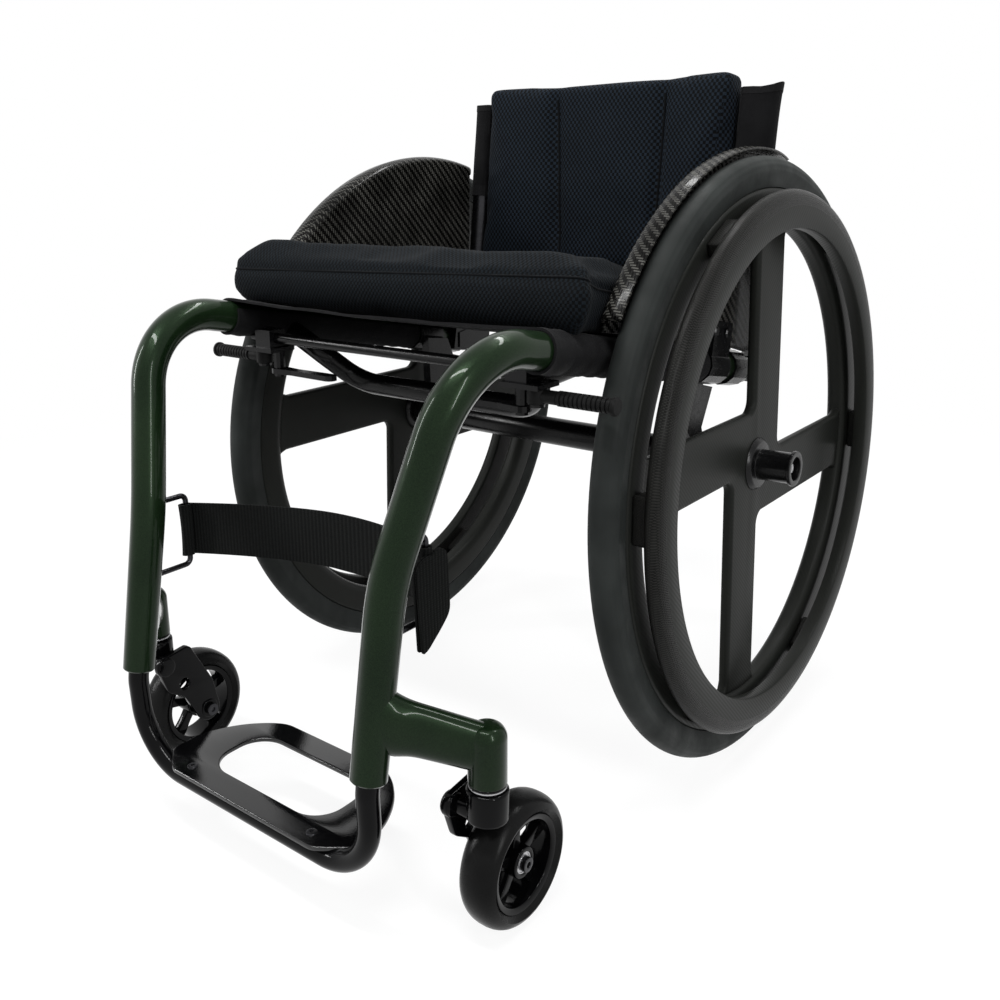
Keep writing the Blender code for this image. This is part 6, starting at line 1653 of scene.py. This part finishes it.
def cage(size, cuts, shape, level):
    """The cage of a cushion, subdivided: points and faces in the cushion's own frame."""
    form = bmesh.new()
    bmesh.ops.create_cube(form, size=1)
    bmesh.ops.scale(form, verts=form.verts, vec=size)
    for axis, places in enumerate(cuts):
        for place in places:
            where = [0, 0, 0]
            where[axis] = place * size[axis]
            normal = [0, 0, 0]
            normal[axis] = 1
            bmesh.ops.bisect_plane(
                form, geom=list(form.verts) + list(form.edges) + list(form.faces), dist=1e-7,
                plane_co=where, plane_no=normal
            )
    for vert in form.verts:
        vert.co = shape(vert.co)
    mesh = bpy.data.meshes.new("cage")
    form.to_mesh(mesh)
    form.free()
    holder = placed("cage", mesh)
    soften(holder, level)
    made = baked(holder)
    out = form_of(made)
    bpy.data.objects.remove(holder)
    bpy.data.meshes.remove(made)
    bpy.data.meshes.remove(mesh)
    return out


def inflated(form, voxel, cap, hold):
    """A closed form filled with air as cloth: swollen by at most cap, and held where hold is 1."""
    scene = bpy.context.scene
    mesh = raw_mesh("fill", form)
    holder = placed("fill", mesh)
    even_mesh = holder.modifiers.new("even", "REMESH")
    even_mesh.mode = "VOXEL"
    even_mesh.voxel_size = voxel
    start = baked(holder)
    holder.modifiers.clear()
    holder.data = start
    bpy.data.meshes.remove(mesh)
    rest, polys = form_of(start)
    group = holder.vertex_groups.new(name="sewn")
    for index, point in enumerate(rest):
        weight = hold(point)
        if weight > 0:
            group.add([index], weight, "REPLACE")
    air = holder.modifiers.new("air", "CLOTH")
    air.settings.quality = 4
    air.settings.mass = 0.15
    air.settings.tension_stiffness = 12
    air.settings.compression_stiffness = 12
    air.settings.bending_stiffness = 0.6
    air.settings.use_pressure = True
    air.settings.uniform_pressure_force = AIR_PRESSURE
    air.settings.effector_weights.gravity = 0
    air.settings.vertex_group_mass = "sewn"
    air.collision_settings.use_collision = False
    air.point_cache.frame_start = 1
    air.point_cache.frame_end = AIR_FRAMES
    for number in range(1, AIR_FRAMES + 1):
        scene.frame_set(number)
    done = baked(holder)
    moved = []
    for before, vert in zip(rest, done.vertices):
        step = vert.co - before
        if step.length > cap:
            step *= cap / step.length
        moved.append(before + step)
    scene.frame_set(1)
    bpy.data.objects.remove(holder)
    bpy.data.meshes.remove(done)
    bpy.data.meshes.remove(start)
    return moved, polys


def softened(form, rounds=2, share=0.5):
    """The same points, each drawn towards the middle of its neighbours."""
    near = [set() for _ in form[0]]
    for poly in form[1]:
        for i, a in enumerate(poly):
            near[a].add(poly[i - 1])
            near[poly[i - 1]].add(a)
    points = [Vector(p) for p in form[0]]
    for _ in range(rounds):
        points = [
            p.lerp(sum((points[i] for i in near[k]), Vector()) / len(near[k]), share)
            for k, p in enumerate(points)
        ]
    return points, form[1]


def fitted(form, low, high):
    """The same form stretched to fill the box from low to high. None leaves an end where it is."""
    points = [Vector(p) for p in form[0]]
    for axis in range(3):
        ends = [min(p[axis] for p in points), max(p[axis] for p in points)]
        want = [ends[k] if (low, high)[k][axis] is None else (low, high)[k][axis] for k in (0, 1)]
        for p in points:
            p[axis] = want[0] + (p[axis] - ends[0]) * (want[1] - want[0]) / (ends[1] - ends[0])
    return points, form[1]


def seat_form(place, slim=0.0, low=0.0):
    """The seat cushion's shape: crowned, tucked in at the edges, bulging in front."""
    across = min(1, abs(place.x) / CUSHION_HALF_WIDTH)
    rear = min(1, abs(place.y) / (CUSHION_LENGTH / 2))
    middle = (1 - across**4) * (1 - rear**4)
    height = place.z / (CUSHION_THICK / 2)
    tuck = 1 - (CUSHION_TUCK * (abs(height) > 0.9) + slim) / CUSHION_HALF_WIDTH
    lift = CUSHION_CROWN * middle if height > 0.9 else 0
    ahead_share = -place.y / CUSHION_LENGTH
    front = max(0, ahead_share - 0.38) / 0.12
    belly = CUSHION_BULGE * (0.35 if abs(height) > 0.9 else 1)
    spread = min(1, front * 1.5) if ahead_share > 0.40 else -0.2 * (ahead_share > 0.3)
    wide = 1 + belly * spread / CUSHION_HALF_WIDTH
    ahead = belly * 0.8 * front
    drop = low if height > 0.5 else 0
    return Vector((place.x * tuck * wide, place.y * tuck - ahead, place.z + lift - drop))


cushion_rest = max(SLEEVE_OUTER, SEAT_CLAMP_RADIUS) + GAP
cushion_mid_y = CUSHION_FRONT_Y + CUSHION_LENGTH / 2 * math.cos(SEAT_ANGLE)
cushion_up = Vector((0, math.sin(SEAT_ANGLE), math.cos(SEAT_ANGLE)))
cushion_place = Vector(
    (0, cushion_mid_y, seat_z(cushion_mid_y))
) + cushion_up * (cushion_rest + CUSHION_THICK / 2)
cushion_at = AT @ Matrix.Translation(cushion_place) @ Matrix.Rotation(-SEAT_ANGLE, 4, "X")
edges = (-0.46, -0.38, 0, 0.38, 0.46)
seat_size = (2 * CUSHION_HALF_WIDTH, CUSHION_LENGTH, CUSHION_THICK)
seat_pad = cage(seat_size, (edges, edges, (-0.30, 0.30)), seat_form, 3)
seat_tree = BVHTree.FromPolygons(seat_pad[0], seat_pad[1])
seat_start = cage(seat_size, (edges, edges, (-0.30, 0.30)), lambda p: seat_form(p, 0.0055, 0.007), 3)


def seat_floor(x):
    """How low the cushion's underside may hang at a distance x from the middle."""
    sheet = SLING_BORE + SHEET - SEAT_SAG * (1 - (x / SEAT_TUBE_X) ** 2)
    deep = -CUSHION_THICK / 2 - cushion_rest + sheet + 0.0012
    near = min(1, max(0, (abs(x) - 0.140) / 0.030))
    return deep * (1 - near) - CUSHION_THICK / 2 * near


def seat_bound(p):
    """The point, kept near the plain cushion and off the sheet below it."""
    place, normal, _, _ = seat_tree.find_nearest(p)
    over = (p - place).dot(normal)
    if p.z < -CUSHION_THICK * 0.42 and abs(p.x) < 0.175:
        return Vector((p.x, p.y, max(p.z, seat_floor(p.x))))
    room = 0.0035 if normal.z > 0.5 else 0.0002 + 0.0065 * min(
        1, max(0, -p.y / CUSHION_LENGTH - 0.385) / 0.05
    )
    if over > room:
        return p - normal * (over - room)
    return p


SEAM_HEIGHT = CUSHION_THICK * 0.10


def seam_height(p):
    """The seam's height round the cushion: level at the sides, dipping along the front."""
    front = max(0, -p.y / (CUSHION_LENGTH / 2) - 0.8) / 0.2
    return SEAM_HEIGHT + 0.004 * front * (p.x / CUSHION_HALF_WIDTH)


def seat_surface(form):
    """Hollows and swellings of worn-in filling, and the sewn groove round the sides."""
    out = []
    for p in form[0]:
        place, normal, _, _ = seat_tree.find_nearest(p)
        n = noise.noise(p * 15 + Vector((4.0, 0, 0)))
        m = noise.noise(p * 41 + Vector((0, 4.0, 0)))
        push = 0.0062 * (n * 0.75 + m * 0.25 - 0.10) if normal.z > 0.3 else 0
        side = math.sqrt(max(0, 1 - normal.z**2))
        near_seam = math.exp(-(((p.z - seam_height(p)) / 0.0036) ** 2))
        pucker = 1 + 0.3 * noise.noise(p * 120)
        groove = 0.0026 * near_seam * pucker if side > 0.6 else 0
        out.append(p + Vector((0, 0, push)) - normal * groove)
    return out, form[1]


seat_filled = inflated(seat_start, 0.0062, 0.014, lambda p: 0)
seat_low = [min(p[k] for p in seat_pad[0]) for k in (0, 1)]
seat_high = [max(p[k] for p in seat_pad[0]) for k in (0, 1)]
seat_filled = fitted(
    seat_filled, (seat_low[0] - 0.007, seat_low[1] - 0.003, None),
    (seat_high[0] + 0.007, seat_high[1], CUSHION_THICK / 2 + CUSHION_CROWN + 0.004)
)
seat_filled = softened(seat_filled, 2, 0.4)
seat_filled = seat_surface(([seat_bound(p) for p in seat_filled[0]], seat_filled[1]))
seat_piece = piece(
    "cushion_seat", at(cushion_at, seat_filled), SEAT_MESH, "frame", ["seat_cushion"], 80,
    1
)
seam_tree = BVHTree.FromPolygons(seat_filled[0], seat_filled[1])
seam = []
for number in range(SEAM_RAYS):
    t = 2 * math.pi * number / SEAM_RAYS
    ray = Vector((math.cos(t), math.sin(t), 0))
    p = seat_tree.ray_cast(Vector((0, 0, SEAM_HEIGHT)) + ray, -ray)[0]
    outward = Vector((p.x, p.y, 0)).normalized()
    seam.append(seam_tree.ray_cast(Vector((p.x, p.y, seam_height(p))) + outward * 0.06, -outward)[0])
cord = loop_tube(even(seam, 0.004), 0.0011, 8)
piece("cushion_seat_piping", at(cushion_at, cord), PIPING_AND_CHANNEL_SHADE, "frame", sharp=60)



def back_form(place, slim=0.0, flat=0.0):
    """The back cushion's shape: two sunk channels between three swollen panels."""
    depth = place.y / (BACK_CUSHION_THICK / 2)
    side = abs(abs(place.x) - BACK_CHANNEL_X)
    channel = 1 - min(1, side / BACK_CHANNEL_HALF)
    sunk = (BACK_CHANNEL_DEPTH + 0.004) * max(0, channel) if depth < -0.9 else 0
    swell = 0
    if depth < -0.9:
        rise = min(1, abs(place.z) / (BACK_CUSHION_HEIGHT / 2))
        swell = 0.003 * (1 - rise**4) * (1 - channel if channel > 0 else 1) - flat * (1 - channel)
    reach = place.x / BACK_CUSHION_HALF
    top = place.z / (BACK_CUSHION_HEIGHT / 2)
    corner = 0.0035 * (reach**4 - 0.35) * max(0, top)
    low = BACK_LOWER * (0.5 - top / 2)
    return Vector(
        (
            place.x * (1 - slim / BACK_CUSHION_HALF), place.y + sunk - swell,
            place.z + corner - low - slim * top
        )
    )


cushion_width = 2 * BACK_CUSHION_HALF
channel_share = BACK_CHANNEL_X / cushion_width
channel_step = BACK_CHANNEL_HALF / cushion_width
across_cuts = []
for side in (-1, 1):
    across_cuts += [side * 0.462]
    across_cuts += [side * (channel_share + step * channel_step) for step in (-1, 0, 1)]
back_sleeve_outer = POST_RADIUS + GAP + SLEEVE_WALL
sheet_front = back_sleeve_outer - SLING_THICK
back_pad_place = (
    0, sheet_front - GAP - 0.0006 - BACK_CUSHION_THICK / 2,
    POST_LENGTH + BACK_CUSHION_RISE - BACK_CUSHION_HEIGHT / 2
)
back_pad_at = BACK_AT @ Matrix.Translation(back_pad_place)
back_size = (cushion_width, BACK_CUSHION_THICK, BACK_CUSHION_HEIGHT)
back_cuts = (across_cuts, (-0.18, 0.25), (-0.455, -0.34, 0.34, 0.455))
back_start = cage(back_size, back_cuts, lambda p: back_form(p, 0.0035, 0.007), 3)


def back_hold(p):
    """1 along the sewn channels and on the flat rear."""
    sewn = abs(abs(p.x) - BACK_CHANNEL_X) < 0.0042 and p.y < BACK_CUSHION_THICK * 0.05
    flat_rear = p.y > BACK_CUSHION_THICK * 0.40
    return 1.0 if sewn or flat_rear else 0.0




def set_over(p):
    """The cushion sits a little to the user's right, and its channels draw together downwards."""
    low = 0.5 - p.z / BACK_CUSHION_HEIGHT
    far = -BACK_CHANNEL_X + 0.005 + 0.020 * low
    near = BACK_CHANNEL_X + 0.006 + 0.003 * low
    runs = [
        (-BACK_CUSHION_HALF, -BACK_CUSHION_HALF - BACK_OVER), (-BACK_CHANNEL_X, far), (BACK_CHANNEL_X, near)
    ]
    runs += [(BACK_CUSHION_HALF, BACK_CUSHION_HALF + 0.001)]
    for (a, x0), (b, x1) in zip(runs, runs[1:]):
        if p.x <= b or b == BACK_CUSHION_HALF:
            return Vector((x0 + (x1 - x0) * (p.x - a) / (b - a), p.y, p.z))


def back_surface(form):
    """Hollows of worn-in filling, deeper along the channels."""
    out = []
    for p in form[0]:
        front = max(0, -p.y / (BACK_CUSHION_THICK / 2))
        push = 0.0030 * noise.noise(p * 19 + Vector((0, 0, 7.0))) * min(1, front)
        side = abs(abs(p.x) - BACK_CHANNEL_X)
        ends = min(1, max(0, (BACK_CUSHION_HEIGHT / 2 - 0.004 - abs(p.z)) / 0.03))
        push += 0.0075 * math.exp(-((side / 0.0062) ** 2)) * min(1, front * 1.5) * (0.45 + 0.55 * ends)
        out.append(p + Vector((0, push, 0)))
    return out, form[1]


back_filled = inflated(back_start, 0.0052, 0.012, back_hold)
back_filled = fitted(
    back_filled,
    (-BACK_CUSHION_HALF, -BACK_CUSHION_THICK / 2 - 0.0035, -BACK_CUSHION_HEIGHT / 2 - BACK_LOWER),
    (BACK_CUSHION_HALF, BACK_CUSHION_THICK / 2 - 0.0002, BACK_CUSHION_HEIGHT / 2 + 0.0030)
)
back_filled = back_surface(softened(back_filled, 1, 0.4))
back_tree = BVHTree.FromPolygons(back_filled[0], back_filled[1])
back_filled = ([set_over(p) for p in back_filled[0]], back_filled[1])
back_piece_pad = piece(
    "cushion_back", at(back_pad_at, back_filled), MESH, "backrest", ["back_cushion"], 80,
    1
)
# Dark cords down the back cushion's two channels: partly the stitched seam, partly painted shade that
# darkens the sunk channels
for side, word in SIDES:
    line = []
    for step in range(41):
        height = (BACK_CUSHION_HEIGHT - 0.022) * (step / 40 - 0.5) - BACK_LOWER / 2
        hit = back_tree.ray_cast(Vector((side * BACK_CHANNEL_X, -0.2, height)), Vector((0, 1, 0)))[0]
        line.append(set_over(hit) + Vector((0, 0.0004, 0)))
    cord = sweep(line, 0.0019, 8)
    piece(
        f"cushion_back_seam_and_channel_shade_{word}", at(back_pad_at, cord), PIPING_AND_CHANNEL_SHADE, "backrest", sharp=60,
    )


# Camera as in the photograph
scene = bpy.context.scene
camera = bpy.data.cameras.new("camera")
camera.lens = 36.76
camera.sensor_width = 36
camera.shift_x = 0.06417
camera.shift_y = -0.04454
camera.clip_start = 0.05
eye = placed("camera", camera)
yaw = math.radians(40.2380)
pitch = math.radians(-15.4839)
roll = math.radians(-1.1574)
ahead = Vector((-math.sin(yaw) * math.cos(pitch), math.cos(yaw) * math.cos(pitch), math.sin(pitch)))
aside = Vector((math.cos(yaw), math.sin(yaw), 0))
above = aside.cross(ahead)
right = aside * math.cos(roll) + above * math.sin(roll)
up = above * math.cos(roll) - aside * math.sin(roll)
turn = Matrix((right, up, -ahead)).transposed().to_4x4()
eye.matrix_world = Matrix.Translation((0.6232, -0.9659 + LIFT_Y, 0.5900)) @ turn
scene.camera = eye
scene.view_settings.view_transform = "Standard"

# White room: a plain white background, soft light from boxes
WORLD_LIGHT = 0.28
FLOOR_GLOW = 0.75
FLOOR_LEVEL = 1.2
FLOOR_REACH = 14
FADE_START = 0.75
FADE_END = 1.7


def seen(tree, *kinds):
    """1 where a ray is of one of these kinds, else 0."""
    rays = add_node(tree, "LightPath")
    out = None
    for kind in kinds:
        one = rays.outputs[f"Is {kind} Ray"]
        out = add_node(tree, "Math", {0: out, 1: one}, operation="MAXIMUM").outputs[0] if out else one
    return out


world = bpy.data.worlds.new("studio")
world.use_nodes = True
scene.world = world
tree = world.node_tree
tree.nodes.clear()
sees = seen(tree, "Camera", "Transmission", "Glossy")
shown = add_node(tree, "Background", {"Color": (1, 1, 1, 1), "Strength": 1.0})
dim = add_node(tree, "Background", {"Color": (0.95, 0.97, 1.0, 1), "Strength": WORLD_LIGHT})
blend = add_node(tree, "MixShader", {0: sees, 1: dim.outputs[0], 2: shown.outputs[0]})
add_node(tree, "OutputWorld", {"Surface": blend.outputs[0]})

corners = [(a * FLOOR_REACH, b * FLOOR_REACH, 0) for a, b in ((-1, -1), (1, -1), (1, 1), (-1, 1))]
floor_mesh = raw_mesh("floor", (corners, [(0, 1, 2, 3)]))
floor = placed("floor", floor_mesh)
floor.location.z = -0.0004
paint = bpy.data.materials.new("floor_white")
paint.use_nodes = True
tree = paint.node_tree
tree.nodes.clear()
sees = seen(tree, "Camera", "Glossy", "Transmission")
place = add_node(tree, "TexCoord").outputs["Object"]
reach = add_node(tree, "VectorMath", {0: place}, operation="LENGTH").outputs["Value"]
fade = add_node(
    tree, "MapRange",
    {"Value": reach, "From Min": FADE_START, "From Max": FADE_END, "To Min": FLOOR_GLOW, "To Max": 1.0},
    interpolation_type="SMOOTHSTEP"
).outputs[0]
level = add_node(
    tree, "MapRange",
    {"Value": fade, "From Min": FLOOR_GLOW, "From Max": 1.0, "To Min": FLOOR_LEVEL, "To Max": 1.0}
).outputs[0]
matt = add_node(tree, "BsdfDiffuse", {"Color": (0.55, 0.55, 0.55, 1)})
glow = add_node(tree, "Emission", {"Color": (1, 1, 1, 1), "Strength": level})
share = add_node(tree, "Math", {0: sees, 1: fade}, operation="MULTIPLY").outputs[0]
blend = add_node(tree, "MixShader", {0: share, 1: matt.outputs[0], 2: glow.outputs[0]})
add_node(tree, "OutputMaterial", {"Surface": blend.outputs[0]})
floor_mesh.materials.append(paint)


def lamp(name, place, aim, size, power):
    """A soft box, aimed at a point."""
    data = bpy.data.lights.new(name, "AREA")
    data.shape = "RECTANGLE"
    data.size, data.size_y = size
    data.energy = power
    made = placed(name, data)
    made.location = place
    made.rotation_euler = (Vector(aim) - Vector(place)).to_track_quat("-Z", "Y").to_euler()


lamp("strip_above", (0.1, -0.9, 2.3), (0, -0.1, 0.3), (1.5, 0.16), 36)
lamp("strip_rear", (0.2, 0.9, 2.3), (0, 0.0, 0.4), (1.5, 0.16), 22)
lamp("strip_left", (-1.9, -1.5, 1.3), (0, -0.1, 0.35), (0.14, 1.4), 25)
lamp("strip_right", (2.1, -1.0, 1.4), (0, 0, 0.35), (0.14, 1.4), 22)
